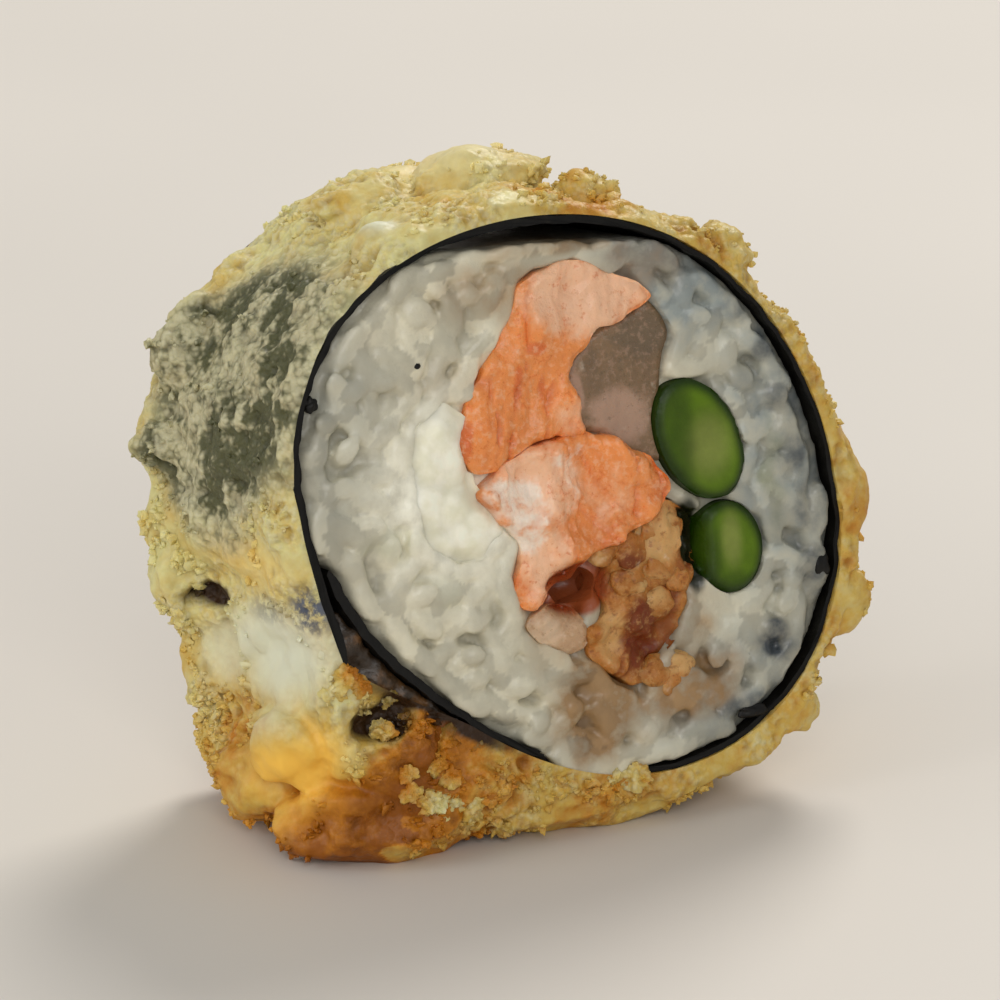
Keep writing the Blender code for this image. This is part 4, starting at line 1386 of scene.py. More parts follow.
def make_rice_core():
    """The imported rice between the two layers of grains."""
    inset = SLAB - 1.0 * MM
    outline = polar_outline(rice_edge, RICE_STEPS)
    core = prism("rice_core", outline, inset, THICKNESS - inset, 4)
    remesh(core, CORE_MESH)
    points, normals = surface_of(core.data)
    deep = 0.6 * MM * noise_at(points, 420.0) + pits_at(points)
    points[:, 1] -= normals[:, 1] * deep * (np.abs(normals[:, 1]) > 0.5)
    move_points(core.data, points)
    bore_for_fillings(core)
    stain_and_shade_rice(core.data)
    return core


def grain_bases():
    """A few cooked grains: blunt, a little bent, and not quite round."""
    look = settings("rice")
    halves = Vector((look.grain_wide / 2, look.grain_wide / 2 * 0.92, look.grain_long / 2))
    bases = []
    for seed in range(GRAIN_KINDS):
        deselect()
        bpy.ops.mesh.primitive_uv_sphere_add(segments=8, ring_count=6, radius=1.0)
        grain = take("grain")
        bend, blunt = 0.10 + 0.05 * (seed % 3), 1.10 + 0.05 * (seed % 2)

        def rule(co, seed=seed, bend=bend, blunt=blunt):
            full = blunt if 0.1 < abs(co.z) < 0.97 else 1.0
            co = Vector((co.x * full, co.y * full, co.z))
            co *= 1.0 + 0.07 * noise.noise(co * 1.6 + Vector((seed * 3.1, 0, 0)))
            co.x += bend * 2.2 * (0.5 - co.z * co.z)
            return Vector(c * h for c, h in zip(co, halves))

        shape(grain, rule)
        bases.append(grain)
    return bases


def open_spots(draw, spacing):
    """Middles for grains, spread evenly over the rice and clear of the fillings."""
    blocked = []
    for name, outline in OUTLINES.items():
        margin = OVER_CHEESE if name == "cream_cheese" else CLEAR_OF_FILLINGS
        blocked.append(grown(outline, [margin] * OUTLINE_STEPS))
    found = []
    for _ in range(GRAIN_TRIES):
        angle = draw.uniform(0, math.tau)
        radius = OVAL_LONG * math.sqrt(draw.random())
        spot = (radius * math.cos(angle), radius * math.sin(angle))
        if radius > rice_radius(angle) - 0.6 * MM:
            continue
        if any(math.dist(spot, other) < spacing for other in found):
            continue
        if any(inside(spot, outline) for outline in blocked):
            continue
        found.append(spot)
    return found


def nearest_edge(spot, outlines):
    """Distance to the nearest of these edges, and the direction along it."""
    best = (1.0, 0.0)
    for outline in outlines:
        for a, b in zip(outline, outline[1:] + outline[:1]):
            away = math.dist(spot, ((a[0] + b[0]) / 2, (a[1] + b[1]) / 2))
            if away < best[0]:
                best = (away, math.atan2(b[1] - a[1], b[0] - a[0]))
    return best


def grain_places():
    """Where the grains lie over both cuts, in two layers."""
    look = settings("rice")
    draw = random.Random(SEED + 1)
    edges = list(OUTLINES.values()) + [polar_outline(rice_radius, 90)]
    places = torn_edge_grains(draw)
    for front in (True, False):
        for spacing, low, high in GRAIN_LAYERS:
            for x, z in open_spots(draw, look.spacing * spacing):
                away, along = nearest_edge((x, z), edges)
                turn = draw.uniform(0, math.pi)
                tip = math.radians(draw.choice(GRAIN_TIPS) * draw.choice((-1, 1)))
                if away < GRAIN_FOLLOWS:
                    turn = along + math.radians(draw.uniform(-18, 18))
                    tip *= 0.4
                deep = MM * draw.uniform(low, high)
                deep += min(GRAIN_SINKS, float(pits_at(np.array([[x, 0.0, z]]))[0]))
                y = deep if front else THICKNESS - deep
                matrix = (Matrix.Translation((x, y, z)) @ Matrix.Rotation(-turn, 4, "Y")
                          @ Matrix.Rotation(tip, 4, "Z")
                          @ Matrix.Rotation(math.radians(90), 4, "Y")
                          @ Matrix.Rotation(draw.uniform(0, math.tau), 4, "Z")
                          @ Matrix.Diagonal((1, 1, draw.uniform(0.82, 1.08), 1)))
                places.append((draw.randrange(GRAIN_KINDS), matrix, draw.uniform(-1, 1)))
    return places


def torn_edge_grains(draw):
    """Grains that have come out over the sheet's torn edge."""
    places = []
    for step in range(EDGE_GRAINS):
        angle = math.radians(TEAR_AT + TEAR_REACH * (step - EDGE_GRAINS // 2) / 3.4)
        radius = rice_radius(angle) + (0.7 if step % 2 else 1.2) * MM
        middle = on_roll(angle, radius, draw.uniform(0.5, 0.9) * MM)
        matrix = (Matrix.Translation(middle)
                  @ Matrix.Rotation(-angle - draw.uniform(-0.9, 0.9), 4, "Y")
                  @ Matrix.Rotation(math.radians(90), 4, "Y")
                  @ Matrix.Diagonal((0.9, 0.9, 0.7, 1)))
        places.append((step % GRAIN_KINDS, matrix, draw.uniform(-1, 1)))
    return places


def packed_layers():
    """A layer of packed rice behind each cut, for the grains to lie on."""
    layers = []
    for front, near, far in ((True, PACKED_FROM, SLAB),
                             (False, THICKNESS - SLAB, THICKNESS - PACKED_FROM)):
        layer = prism("layer", polar_outline(rice_edge, RICE_STEPS), near, far)
        remesh(layer, LAYER_MESH)
        points, normals = surface_of(layer.data)
        facing = -normals[:, 1] if front else normals[:, 1]
        sunk = (facing > 0.5) * np.minimum(pits_at(points), 2.0 * MM)
        points[:, 1] += sunk if front else -sunk
        move_points(layer.data, points)
        layers.append(layer)
    return layers


def make_grains():
    """Grains over both cuts, pressed flat by the knife and stuck to the rice below."""
    look = settings("rice")
    places = grain_places()
    reach = look.grain_long * 0.36
    seeds = [(matrix @ Vector((0, 0, part * reach)), tone)
             for _, matrix, tone in places for part in (-1, -0.5, 0, 0.5, 1)]
    grains = copies("rice_grains", grain_bases(), [place[:2] for place in places])
    press_grains(grains.data)
    grains = join([grains] + packed_layers(), "rice_grains")
    remesh(grains, look.fineness)
    apply_modifier(grains, "SMOOTH", factor=0.5, iterations=1)
    cut(grains, hollow_tool())
    bore_for_fillings(grains)
    stain_and_shade_rice(grains.data, seeds)
    return grains


def hollow_tool():
    x, z = HOLLOW_AT
    halves = [half * 0.7 for half in HOLLOW_REACH]
    return prism("hollow", ellipse((x, z), halves, 12.0, 24), -OVERRUN, SLAB + 2 * MM)


def press_grains(mesh):
    """The knife and the seaweed flatten what stands past them."""
    points = points_of(mesh)
    spots = np.stack([points[:, 0], points[:, 2], np.full(len(points), 0.01)], axis=1)
    face = 0.25 * MM * noise_at(spots, 210.0)
    front = points[:, 1] < THICKNESS / 2
    over = np.where(front, (face - KNIFE_SLACK) - points[:, 1],
                    points[:, 1] - (THICKNESS + KNIFE_SLACK - face))
    press = np.where(over > 0, over * KNIFE_PRESS, 0.0)
    points[:, 1] += np.where(front, press, -press)
    angles = np.arctan2(points[:, 2], points[:, 0])
    radius = np.hypot(points[:, 0], points[:, 2])
    most = by_angle(rice_edge, angles)
    degrees = np.degrees(angles) % 360
    torn = bell(degrees, TEAR_AT, TEAR_REACH, 4) * (1.7 + 1.3 * noise_at(spots, 480.0, 5.0))
    most += np.where(points[:, 1] < TEAR_DEPTH, torn * MM, 0.0)
    gap = by_angle(lambda angle: bell(math.degrees(angle), *TOP_GAP_SPAN), angles)
    most += gap * MM * (0.9 * noise_at(spots, 520.0, 9.0))
    pull = np.minimum(1.0, most / radius)
    points[:, 0] *= pull
    points[:, 2] *= pull
    move_points(mesh, points)


def rice_material():
    look, filling = settings("rice"), settings("filling")
    material, tree, shader, place = new_material("cooked_rice")
    mist = clouds(tree, place, 420.0, 4.0)
    fine = clouds(tree, place, 1500.0, 4.0)

    def stained(base, name, shade):
        """The stain stored under this name, in patches, with the painted shade that some of them
        carry.
        """
        patches = spread(tree, mist, 0.25, 0.75, 0.35, 1.0)
        return blend(tree, times(tree, stored(tree, name), patches), base, shade)

    base = look.warm
    # the first is partly painted shade, bluish grey on the right side
    for name in ("cool", "tan", "olive"):
        base = stained(base, name, getattr(look, name))
    base = tinted(tree, base, spread(tree, stored(tree, "tint"), -1.0, 1.0, 0.74, 1.08))
    base = tinted(tree, base, spread(tree, mist, 0.3, 0.7, 0.88, 1.05))
    # painted shade: darker the deeper a point lies behind the cut, between the grains
    base = tinted(tree, base, spread(tree, stored(tree, "crease"), 0.1, 1.1, 1.0, 0.68))
    base = stained(base, "cream", filling.cheese)
    # the seaweed rubbed off, and painted shade along the sheet
    base = stained(base, "smear", look.smear)
    # painted shade in the hollow, the top gap and the slot
    base = blend(tree, spread(tree, stored(tree, "hollow"), 0.06, 0.4), base, filling.hollow)
    base = blend(tree, spread(tree, stored(tree, "slot"), 0.15, 0.6), base, filling.slot)
    finish_shader(tree, shader, base, spread(tree, fine, 0.25, 0.75, 0.28, 0.46),
                  plus(tree, fine, times(tree, mist, 1.5)), 0.08 * MM, soft=0.45,
                  radius=(1.0, 0.9, 0.7), soft_scale=0.9 * MM, coat=0.18, coat_rough=0.15)
    return material


# ---------------------------------------------------------------- fillings

class Filling:
    """How one filling is cut: its outline, the solid's own relief, and its flesh."""

    def __init__(self, name, outline, stand_out, relief, relief_scale, ragged=0.3,
                 fibre_turn=90.0, fibres=0.0, tears=0.0, steps=0.0, lumps=0.0, lump_scale=350.0,
                 pale=(), deep=(), fat=(), rounding=0.5, rounding_reach=0.8, lap=0.35):
        self.name, self.outline = name, outline
        self.stand_out, self.relief, self.relief_scale = stand_out, relief, relief_scale
        self.ragged, self.fibre_turn = ragged, math.radians(fibre_turn)
        self.fibres, self.tears, self.steps = fibres, tears, steps
        self.lumps, self.lump_scale = lumps, lump_scale
        self.pale, self.deep, self.fat = pale, deep, fat
        self.rounding, self.rounding_reach = rounding, rounding_reach
        self.lap = lap


OUTLINE_STEPS = 96
PIT_SHARES = (0.85, 0.4)             # of the open places' depth, at the front and the back
NEIGHBOURS = 1.5 * MM                # fillings nearer than this are cut to each other
FILLINGS = {                         # in order of firmness: an earlier one keeps its form
    "asparagus_upper": Filling(
        "upper_asparagus", ellipse(*ASPARAGUS_UPPER, OUTLINE_STEPS), 0.35, 0.25, 180.0,
        ragged=0.08, lap=0.0, pale=(((15.4, 2.6), (2.6, 3.2), 1.0),),
        # painted shade: its deep zone runs down its left side
        deep=(((12.4, 4.0), (1.6, 7.0), 0.8),)),
    "asparagus_lower": Filling(
        "lower_asparagus", ellipse(*ASPARAGUS_LOWER, OUTLINE_STEPS), 0.30, 0.25, 180.0,
        # its pale streak is its muted middle, with a painted highlight along it
        ragged=0.06, lap=0.0, pale=(((17.2, -7.2), (1.2, 2.8), 1.0),),
        # painted shade: its deep zones lie on its left and along its bottom
        deep=(((14.4, -8.6), (1.6, 5.0), 1.0), ((17.0, -12.0), (4.0, 1.5), 0.8))),
    "salmon_upper": Filling(
        "upper_salmon", smooth_outline(SALMON_UPPER, OUTLINE_STEPS), 0.45, 1.0, 230.0,
        ragged=0.6, fibre_turn=78.0, fibres=0.04, tears=0.4, steps=0.8, lumps=0.5,
        lump_scale=330.0,
        pale=(((3.5, 19.5), (7.5, 4.6), 1.0), ((0.6, 7.6), (2.4, 2.2), 0.6)),
        deep=(((-7.5, 7.0), (4.0, 4.0), 0.42), ((-11.0, 7.0), (0.9, 3.0), 1.0),
              ((-2.7, 14.9), (1.4, 0.9), 1.0), ((-4.8, 11.6), (0.7, 2.4), 0.8),
              ((-2.1, 10.6), (0.6, 2.2), 0.7)),
        fat=(((1.0, 12.6), (0.8, 2.6), 0.35),)),
    "salmon_lower": Filling(
        "lower_salmon", smooth_outline(SALMON_LOWER, OUTLINE_STEPS), 0.60, 1.1, 260.0,
        ragged=0.7, fibre_turn=112.0, fibres=0.08, tears=0.5, steps=1.3, lumps=0.5,
        lump_scale=300.0,
        pale=(((-4.0, 1.0), (6.0, 5.0), 0.8), ((-3.8, -6.4), (3.4, 5.4), 0.75),
              ((4.0, -1.0), (4.0, 4.0), 0.45)),
        deep=(((9.8, -0.4), (2.4, 2.2), 0.6), ((4.4, -5.6), (5.0, 1.2), 0.45)),
        fat=(((-6.6, 0.4), (3.4, 2.4), 1.0), ((-5.6, -3.0), (2.8, 2.6), 1.0),
             ((-0.4, 3.8), (2.6, 1.6), 0.5), ((-1.0, 0.0), (1.6, 2.6), 0.5))),
    "browned_salmon": Filling(
        "browned_fish", smooth_outline(BROWNED, OUTLINE_STEPS), 0.10, 1.0, 280.0,
        ragged=0.9, fibre_turn=60.0, fibres=0.06, tears=0.5, steps=0.8, lumps=1.3,
        lump_scale=430.0,
        pale=(((9.0, -5.2), (4.4, 3.6), 0.8), ((3.2, -14.6), (1.7, 3.2), 0.9)),
        deep=(((6.6, -15.2), (2.4, 4.6), 1.0), ((9.4, -12.0), (2.2, 3.0), 0.6))),
    "pale_flake": Filling(
        "pale_fish_flake", smooth_outline(PALE_FLAKE, OUTLINE_STEPS), 0.20, 0.6, 250.0,
        ragged=0.25, fibre_turn=20.0, fibres=0.04, lumps=0.3, lump_scale=300.0,
        pale=(((-3.8, -13.4), (2.0, 2.0), 0.8),)),
    "salmon_dark_flesh": Filling(
        "dark_flesh", smooth_outline(SALMON_DARK, OUTLINE_STEPS), -0.70, 0.6, 150.0,
        ragged=0.2, fibre_turn=85.0,
        pale=(((6.4, 6.6), (3.8, 3.4), 0.9), ((2.1, 9.6), (0.9, 2.4), 1.0)),
        deep=(((9.6, 14.4), (4.0, 3.4), 0.9), ((4.2, 11.6), (1.2, 3.4), 0.5))),
    "cream_cheese": Filling(
        "cheese", smooth_outline(CREAM_CHEESE, OUTLINE_STEPS), 0.40, 0.6, 120.0,
        ragged=0.5, lumps=0.8, lump_scale=380.0, rounding=0.8, rounding_reach=2.0, lap=1.8,
        pale=(((-13.6, 6.4), (2.6, 4.4), 1.0),)),
}
OUTLINES = {name: filling.outline for name, filling in FILLINGS.items()}


def ragged_outline(filling, seed):
    """The filling's outline, frayed a little inwards and outwards."""
    swings = [noise.fractal((x * 380, z * 380, seed), 1.0, 2.0, 3) for x, z in filling.outline]
    return grown(filling.outline, [(swing - 0.12) * filling.ragged * MM for swing in swings])


def edge_distance(points, outline):
    """Distance in the cut face from each point to the outline, in metres."""
    tree = kdtree.KDTree(4 * len(outline))
    for number, (a, b) in enumerate(zip(outline, outline[1:] + outline[:1])):
        for part in range(4):
            spot = a.lerp(b, part / 4)
            tree.insert((spot[0], 0.0, spot[1]), 4 * number + part)
    tree.balance()
    return np.array([tree.find((p[0], 0.0, p[2]))[2] for p in points.tolist()])


def carve(filling, points, front, edge, seed):
    """How far the cut face stands out at each point, and how torn it is there."""
    x, z = points[:, 0], points[:, 2]
    turn = filling.fibre_turn
    along = x * math.cos(turn) + z * math.sin(turn)
    across = -x * math.sin(turn) + z * math.cos(turn)
    side = np.where(front, seed, seed + 7.3)
    bent = across + 0.8 * MM * noise_at(np.stack([along * 190, across * 190, side], axis=1), 1.0)
    fibres = ridges_at(np.stack([along * 130, bent * 1000, side], axis=1), 1.0, 0.0)
    cracks = ridges_at(np.stack([along * 95, bent * 300, side], axis=1), 1.0, 3.0)
    cracks += 0.5 * noise_at(np.stack([along * 500, bent * 500, side], axis=1), 1.0)
    torn = ease((cracks - 0.62) / 0.35) * (1 - 0.85 * strongest(x / MM, z / MM, filling.pale))
    level = 3.0 * noise_at(np.stack([along * 150, bent * 240, side], axis=1), 1.0, 9.0)
    stair = np.floor(level) + ease((level - np.floor(level)) / 0.22)
    blobs = 1 - np.clip(cells_at(np.stack([x, z, side / filling.lump_scale], axis=1),
                                 filling.lump_scale, 1.0), 0, 1) ** 1.5
    swell = noise_at(np.stack([x, z, side / filling.relief_scale], axis=1),
                     filling.relief_scale)
    rough = fractal_at(points, 1000.0, 3, seed) * min(1.0, filling.ragged * 2)
    lift = filling.relief * swell + filling.fibres * fibres + filling.steps * 0.35 * stair
    lift += filling.lumps * (blobs - 0.55) + 0.10 * rough - filling.tears * torn
    lift -= filling.rounding * (1 - ease(edge / (filling.rounding_reach * MM)))
    return lift * MM, torn * (filling.tears > 0), fibres, blobs - 0.55


def make_filling(key):
    """A filling through the whole slice, its cut faces carved into flesh."""
    filling = FILLINGS[key]
    seed = 5.0 * list(FILLINGS).index(key)
    out = filling.stand_out * MM
    outline = ragged_outline(filling, seed)
    piece = prism(filling.name, outline, -out, THICKNESS + out, 6)
    remesh(piece, settings("filling").fineness)
    apply_modifier(piece, "SMOOTH", factor=0.5, iterations=3)
    points, normals = surface_of(piece.data)
    x, z = points[:, 0] / MM, points[:, 2] / MM
    front = points[:, 1] < THICKNESS / 2
    facing = np.clip(np.where(front, -normals[:, 1], normals[:, 1]), 0, 1)
    edge = edge_distance(points, outline)
    lift, torn, fibres, relief = carve(filling, points, front, edge, seed)
    lift -= pits_at(points) * np.where(front, *PIT_SHARES)
    points[:, 1] += np.where(front, -lift, lift) * facing
    move_points(piece.data, points)
    hollow, slot = pit_shades(x, z)
    keep_values(piece.data, torn=torn, fibres=fibres, edge=edge / MM, relief=relief,
                pale=strongest(x, z, filling.pale), deep=strongest(x, z, filling.deep),
                fat=strongest(x, z, filling.fat), hollow=hollow, slot=slot)
    for other in list(FILLINGS)[:list(FILLINGS).index(key)]:
        if any(math.dist(a, b) < NEIGHBOURS for a in outline for b in OUTLINES[other]):
            cut(piece, filling_tool(other))
    return piece


SCRAPS_INWARDS = 0.45                # millimetres from the cut to a bit's middle
FISH_SCRAPS = (                      # loose bits in the cut face: middle, half sizes in mm
    ((6.4, -6.8), (2.2, 1.8)), ((10.0, -5.2), (2.2, 1.7)), ((9.4, -8.6), (2.3, 1.8)),
    ((11.4, -10.2), (1.5, 1.9)), ((5.8, -10.0), (1.9, 1.7)), ((8.6, -12.2), (1.9, 1.5)),
    ((3.4, -6.6), (1.6, 1.3)), ((8.2, -19.3), (1.9, 1.5)), ((10.4, -19.2), (1.7, 1.6)),
    ((9.2, -20.8), (1.6, 1.1)),
)


# The kinds of flesh: their colours' settings, then their finish
FLESH = {
    "salmon": (("salmon", "salmon_pale", "salmon_deep", "salmon_torn"), {}),
    "dark_flesh": (("dark_flesh", "dark_pale", "dark_deep", "dark_flesh"), {"soft": 0.3}),
    "browned_fish": (("browned", "browned_pale", "scorched", "scorched"),
                     {"rough": 0.46, "coat": 0.04, "specular": 0.3}),
    "pale_flake": (("pale_flake", "flake_pale", "flake_deep", "pale_flake"), {}),
}


def make_fish_scraps():
    """Small bits of browned fish, pressed into both cuts."""
    spots = [((x, SCRAPS_INWARDS, z), (wide, 1.0, high)) for (x, z), (wide, high) in FISH_SCRAPS]
    scraps = bits_at_cuts("fish_scraps", spots, 3.1, (0.40, 1.1, 0.07, 3.6))
    points = points_of(scraps.data)
    tone = noise_at(points, 190.0, 6.0)
    none = np.zeros(len(points))
    keep_values(scraps.data, torn=none, fibres=none, fat=none, hollow=none, slot=none,
                pale=ease(0.36 + 1.0 * tone), deep=ease(0.22 - 0.9 * tone))
    return scraps


def flesh_group():
    """Cooked fish: paler and deeper zones, fat, fibres, torn places, and painted shade in the
    hollow and the slot.
    """
    name = "Cooked Fish"
    if name in bpy.data.node_groups:
        return bpy.data.node_groups[name]
    look = settings("filling")
    tree, start, end = new_group(
        name, {"Place": "Vector", "Base": "Color", "Pale": "Color", "Deep": "Color",
               "Torn": "Color"}, {"Color": "Color", "Fine": "Float", "Height": "Float"})
    place, base, pale, deep, torn = start.outputs[:5]
    mist = clouds(tree, place, 420.0, 3.0, 0.6)
    wide = clouds(tree, place, 170.0, 2.0)
    fine = clouds(tree, place, 1500.0, 3.0, 0.65)
    grime = plus(tree, times(tree, fine, 0.6), times(tree, mist, 0.4))

    def shaken(key, swing, low, high):
        """A stored zone, with a broken edge."""
        value = plus(tree, stored(tree, key), around_half(tree, mist, swing))
        return spread(tree, value, low, high)

    shade = tinted(tree, base, spread(tree, wide, 0.3, 0.7, 0.92, 1.06))
    for mask, most, over in (
            (shaken("pale", 1.0, 0.25, 0.85), 1.0, pale),
            (shaken("deep", 1.3, 0.3, 0.9), 0.85, deep),
            (spread(tree, fine, 0.50, 0.66), 0.4, pale),
            (spread(tree, grime, 0.46, 0.36), 0.45, deep),
            (shaken("fat", 2.6, 0.35, 1.15), 0.85, look.fat),
            (stored(tree, "torn"), 0.7, torn)):
        shade = blend(tree, times(tree, mask, most), shade, over)
    shade = tinted(tree, shade, spread(tree, stored(tree, "fibres"), -1.0, 1.0, 0.95, 1.04))
    # painted shade in the hollow under the salmon and the slot beside the asparagus
    for key, over in (("hollow", look.hollow), ("slot", look.slot)):
        shade = blend(tree, spread(tree, stored(tree, key), 0.12, 0.55), shade, over)
    height = plus(tree, fine, times(tree, mist, 0.7))
    for key, value in (("Color", shade), ("Fine", fine), ("Height", height)):
        tree.links.new(value, end.inputs[key])
    return tree


def flesh_material(name, shades, soft=0.4, rough=0.36, coat=0.18, specular=0.5):
    """Cooked fish in four of the fillings' colours: its own, pale, deep and torn."""
    look = settings("filling")
    material, tree, shader, place = new_material(name)
    inputs = {"Place": place}
    for key, shade in zip(("Base", "Pale", "Deep", "Torn"), shades):
        inputs[key] = getattr(look, shade)
    made = node(tree, "Group", inputs, node_tree=flesh_group()).outputs
    finish_shader(tree, shader, made["Color"],
                  spread(tree, made["Fine"], 0.3, 0.7, rough - 0.1, rough + 0.12),
                  made["Height"], 0.16 * MM, soft=soft, radius=(1.0, 0.4, 0.18),
                  soft_scale=1.1 * MM, coat=coat, coat_rough=0.2, specular=specular)
    return material


def cheese_material():
    look = settings("filling")
    material, tree, shader, place = new_material("cream_cheese")
    mist = clouds(tree, place, 420.0, 3.0)
    base = blend(tree, spread(tree, mist, 0.35, 0.65), look.cheese_dull, look.cheese)
    edge = spread(tree, stored(tree, "edge"), 1.6, 0.0, 0.0, 0.7)
    base = blend(tree, edge, base, settings("rice").warm)
    # painted shade: darker where the lumps' relief is low, between them
    base = tinted(tree, base, spread(tree, stored(tree, "relief"), -0.35, 0.3, 0.88, 1.04))
    finish_shader(tree, shader, base, 0.36, mist, 0.2 * MM, soft=0.6,
                  radius=(1.0, 0.85, 0.6), soft_scale=1.3 * MM, coat=0.1)
    return material


def asparagus_material(name):
    """Cut asparagus: a dark skin, painted shade on its shaded side, a muted middle that on the
    lower spear is also a painted highlight, and fine fibres.
    """
    look = settings("filling")
    material, tree, shader, place = new_material(name)
    edge, paleness, depth = (stored(tree, key) for key in ("edge", "pale", "deep"))
    mist = clouds(tree, place, 300.0, 3.0)
    fibres = clouds(tree, place, 1500.0, 3.0)
    base = blend(tree, spread(tree, edge, 0.15, 1.5), look.green_skin_and_shade, look.green)
    # the pale zones: the muted middle, and on the lower spear a painted highlight
    base = blend(tree, paleness, base, look.green_middle)
    # painted shade: the skin's dark green on the spears' shaded sides
    base = blend(tree, times(tree, depth, 0.7), base, look.green_skin_and_shade)
    base = tinted(tree, base, spread(tree, mist, 0.3, 0.7, 0.85, 1.1))
    finish_shader(tree, shader, base, 0.42, fibres, 0.08 * MM, soft=0.3,
                  radius=(0.6, 1.0, 0.2), soft_scale=1.1 * MM, specular=0.25)
    return material


# ---------------------------------------------------------------- stage

CAMERA_AZIMUTH = math.radians(-26.0)
CAMERA_ELEVATION = math.radians(20.0)
AIM_LEFT = 6.8 * MM                  # the whole slice's middle, seen from the cut's middle
AIM_DOWN = 0.7 * MM
LIGHTS = (                           # name, place, size, its power's setting, shade
    ("key_light", (0.55, 0.55, 0.80), 0.45, "key", (1.0, 0.97, 0.92)),
    ("fill_light", (-0.35, -0.95, 0.60), 0.70, "fill", (1.0, 0.98, 0.95)),
    ("side_light", (-1.0, 0.10, 0.45), 0.70, "side", (1.0, 0.97, 0.92)),
)
ROOM_SHADE = (0.93, 0.96, 1.0, 1.0)
FLOOR_RADIUS = 2.5
SENSOR = 36.0                        # millimetres, for the focal length


def camera_axes():
    """Directions to the camera, to its right and upwards in its picture."""
    sin_az, cos_az = math.sin(CAMERA_AZIMUTH), math.cos(CAMERA_AZIMUTH)
    sin_el, cos_el = math.sin(CAMERA_ELEVATION), math.cos(CAMERA_ELEVATION)
    return (Vector((sin_az * cos_el, -cos_az * cos_el, sin_el)), Vector((cos_az, sin_az, 0.0)),
            Vector((-sin_el * sin_az, sin_el * cos_az, cos_el)))


def look_from(thing, place, at):
    """Turns a camera or light at a place towards a point."""
    thing.location = place
    thing.rotation_euler = (place - at).to_track_quat("Z", "Y").to_euler()


def add_light(name, place, at, size, power, shade):
    deselect()
    bpy.ops.object.light_add(type="AREA", location=place)
    light = bpy.context.object
    light.name = name
    light.data.shape = "DISK"
    light.data.size = size
    light.data.energy = power
    light.data.color = shade
    look_from(light, place, at)


def make_stage():
    look = settings("stage")
    middle = PLACE @ Vector((0.0, 0.0, 0.0))
    to_camera, right, up = camera_axes()
    aim = middle - right * AIM_LEFT - up * AIM_DOWN
    deselect()
    bpy.ops.object.camera_add()
    camera = bpy.context.object
    camera.name = "camera"
    camera.data.sensor_width = SENSOR
    camera.data.lens = look.focal
    camera.data.clip_start = 0.02
    look_from(camera, middle + to_camera * look.camera_distance, aim)
    bpy.context.scene.camera = camera

    deselect()
    bpy.ops.mesh.primitive_circle_add(vertices=96, radius=FLOOR_RADIUS, fill_type="NGON")
    floor = take("floor")
    material, tree, shader, place = new_material("pale_floor")
    tone = clouds(tree, place, 6.0, 2.0)
    base = tinted(tree, look.floor, spread(tree, tone, 0.3, 0.7, 0.97, 1.02))
    finish_shader(tree, shader, base, 0.6)
    floor.data.materials.append(material)

    for name, spot, size, power, shade in LIGHTS:
        add_light(name, Vector(spot), middle, size, getattr(look, power), shade)
    world = bpy.data.worlds.new("room")
    bpy.context.scene.world = world
    world.use_nodes = True
    background = world.node_tree.nodes["Background"]
    background.inputs["Color"].default_value = ROOM_SHADE
    background.inputs["Strength"].default_value = look.room
    scene = bpy.context.scene
    scene.view_settings.view_transform = "Standard"
    scene.view_settings.look = "None"


# ---------------------------------------------------------------- operators

class OBJECT_OT_roll_batter(bpy.types.Operator):
    """Wraps the slice in uneven fried batter, with crumbs fried onto it"""
    bl_idname = "object.roll_batter"
    bl_label = "Fried Batter"
    bl_options = {"REGISTER", "UNDO"}

    def execute(self, context):
        drum = batter_drum()
        remesh(drum, settings("batter").fineness)
        apply_modifier(drum, "SMOOTH", factor=0.5, iterations=4)
        bore = polar_outline(bore_radius, BATTER_STEPS)
        cut(drum, prism("bore", bore, -OVERRUN, THICKNESS + OVERRUN))
        cut(drum, under_floor())
        fry(drum)
        crumbs = make_crumbs(drum)
        material = batter_material()
        stand_up(drum, material, "batter_crust", "batter_crust")
        stand_up(crumbs, material, "batter_crust")
        stand_up(make_seam_crumbs(), material, "batter_crust")
        return {"FINISHED"}


class OBJECT_OT_roll_seaweed(bpy.types.Operator):
    """Winds the seaweed sheet once round the rice, with its shreds and its fried seam"""
    bl_idname = "object.roll_seaweed"
    bl_label = "Seaweed"
    bl_options = {"REGISTER", "UNDO"}

    def execute(self, context):
        material = seaweed_material()
        stand_up(make_seaweed(), material, "nori", "nori")
        stand_up(make_shreds(), material, "nori")
        stand_up(make_seam_filling(), seam_material(), "batter_crust")
        return {"FINISHED"}


class OBJECT_OT_roll_rice(bpy.types.Operator):
    """Packs the rice and lays grains over both cuts"""
    bl_idname = "object.roll_rice"
    bl_label = "Rice"
    bl_options = {"REGISTER", "UNDO"}

    def execute(self, context):
        material = rice_material()
        stand_up(make_rice_core(), material, "rice", "rice")
        stand_up(make_grains(), material, "rice")
        return {"FINISHED"}


class OBJECT_OT_roll_fish(bpy.types.Operator):
    """Cuts the two salmon lobes, their dark flesh, the browned piece and the pale flake"""
    bl_idname = "object.roll_fish"
    bl_label = "Salmon"
    bl_options = {"REGISTER", "UNDO"}

    def execute(self, context):
        kinds = {name: flesh_material(name, shades, **finish)
                 for name, (shades, finish) in FLESH.items()}
        for key, kind in (("salmon_upper", "salmon"), ("salmon_lower", "salmon"),
                          ("browned_salmon", "browned_fish"), ("pale_flake", "pale_flake"),
                          ("salmon_dark_flesh", "dark_flesh")):
            stand_up(make_filling(key), kinds[kind], key, key)
        stand_up(make_fish_scraps(), kinds["browned_fish"], "browned_salmon")
        return {"FINISHED"}


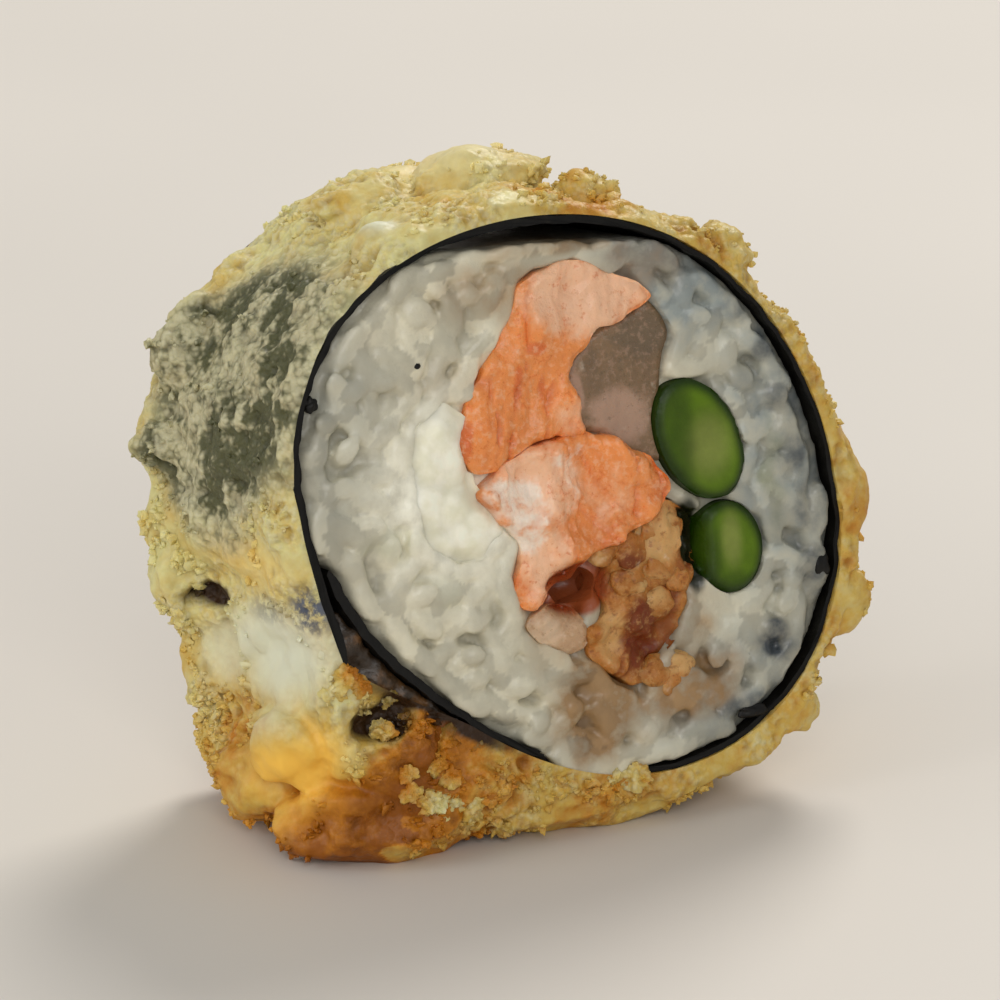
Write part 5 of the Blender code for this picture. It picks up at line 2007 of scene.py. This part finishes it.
class OBJECT_OT_roll_cheese(bpy.types.Operator):
    """Sets the cream cheese beside the salmon"""
    bl_idname = "object.roll_cheese"
    bl_label = "Cream Cheese"
    bl_options = {"REGISTER", "UNDO"}

    def execute(self, context):
        stand_up(make_filling("cream_cheese"), cheese_material(), "cream_cheese", "cream_cheese")
        return {"FINISHED"}


class OBJECT_OT_roll_asparagus(bpy.types.Operator):
    """Sets the two cut asparagus spears in the rice"""
    bl_idname = "object.roll_asparagus"
    bl_label = "Asparagus"
    bl_options = {"REGISTER", "UNDO"}

    def execute(self, context):
        for key in ("asparagus_upper", "asparagus_lower"):
            stand_up(make_filling(key), asparagus_material(key), key, key)
        return {"FINISHED"}


class SCENE_OT_roll_stage(bpy.types.Operator):
    """Sets the floor, the lights and the camera"""
    bl_idname = "scene.roll_stage"
    bl_label = "Stage"
    bl_options = {"REGISTER", "UNDO"}

    def execute(self, context):
        make_stage()
        return {"FINISHED"}


OPERATORS = (
    SCENE_OT_roll_stage, OBJECT_OT_roll_batter, OBJECT_OT_roll_seaweed, OBJECT_OT_roll_rice,
    OBJECT_OT_roll_fish, OBJECT_OT_roll_cheese, OBJECT_OT_roll_asparagus,
)


class VIEW3D_PT_roll(bpy.types.Panel):
    """Lists the slice's settings and what makes each of its pieces"""
    bl_idname = "VIEW3D_PT_roll"
    bl_label = "Fried Sushi Roll"
    bl_space_type = "VIEW_3D"
    bl_region_type = "UI"
    bl_category = "Sushi Roll"

    def draw(self, context):
        for operator in OPERATORS:
            self.layout.operator(operator.bl_idname)
        for name in SETTINGS:
            box = self.layout.box()
            box.label(text=name.title())
            group = settings(name)
            for key in group.__annotations__:
                box.prop(group, key)


def register():
    for name, group in SETTINGS.items():
        bpy.utils.register_class(group)
        setattr(bpy.types.Scene, "roll_" + name, bpy.props.PointerProperty(type=group))
    for operator in OPERATORS:
        bpy.utils.register_class(operator)
    bpy.utils.register_class(VIEW3D_PT_roll)


def unregister():
    bpy.utils.unregister_class(VIEW3D_PT_roll)
    for operator in reversed(OPERATORS):
        bpy.utils.unregister_class(operator)
    for name, group in SETTINGS.items():
        delattr(bpy.types.Scene, "roll_" + name)
        bpy.utils.unregister_class(group)


def main():
    """Makes every piece in order."""
    register()
    bpy.ops.scene.roll_stage()
    bpy.ops.object.roll_batter()
    bpy.ops.object.roll_seaweed()
    bpy.ops.object.roll_rice()
    bpy.ops.object.roll_fish()
    bpy.ops.object.roll_cheese()
    bpy.ops.object.roll_asparagus()


if __name__ == "__main__":
    main()
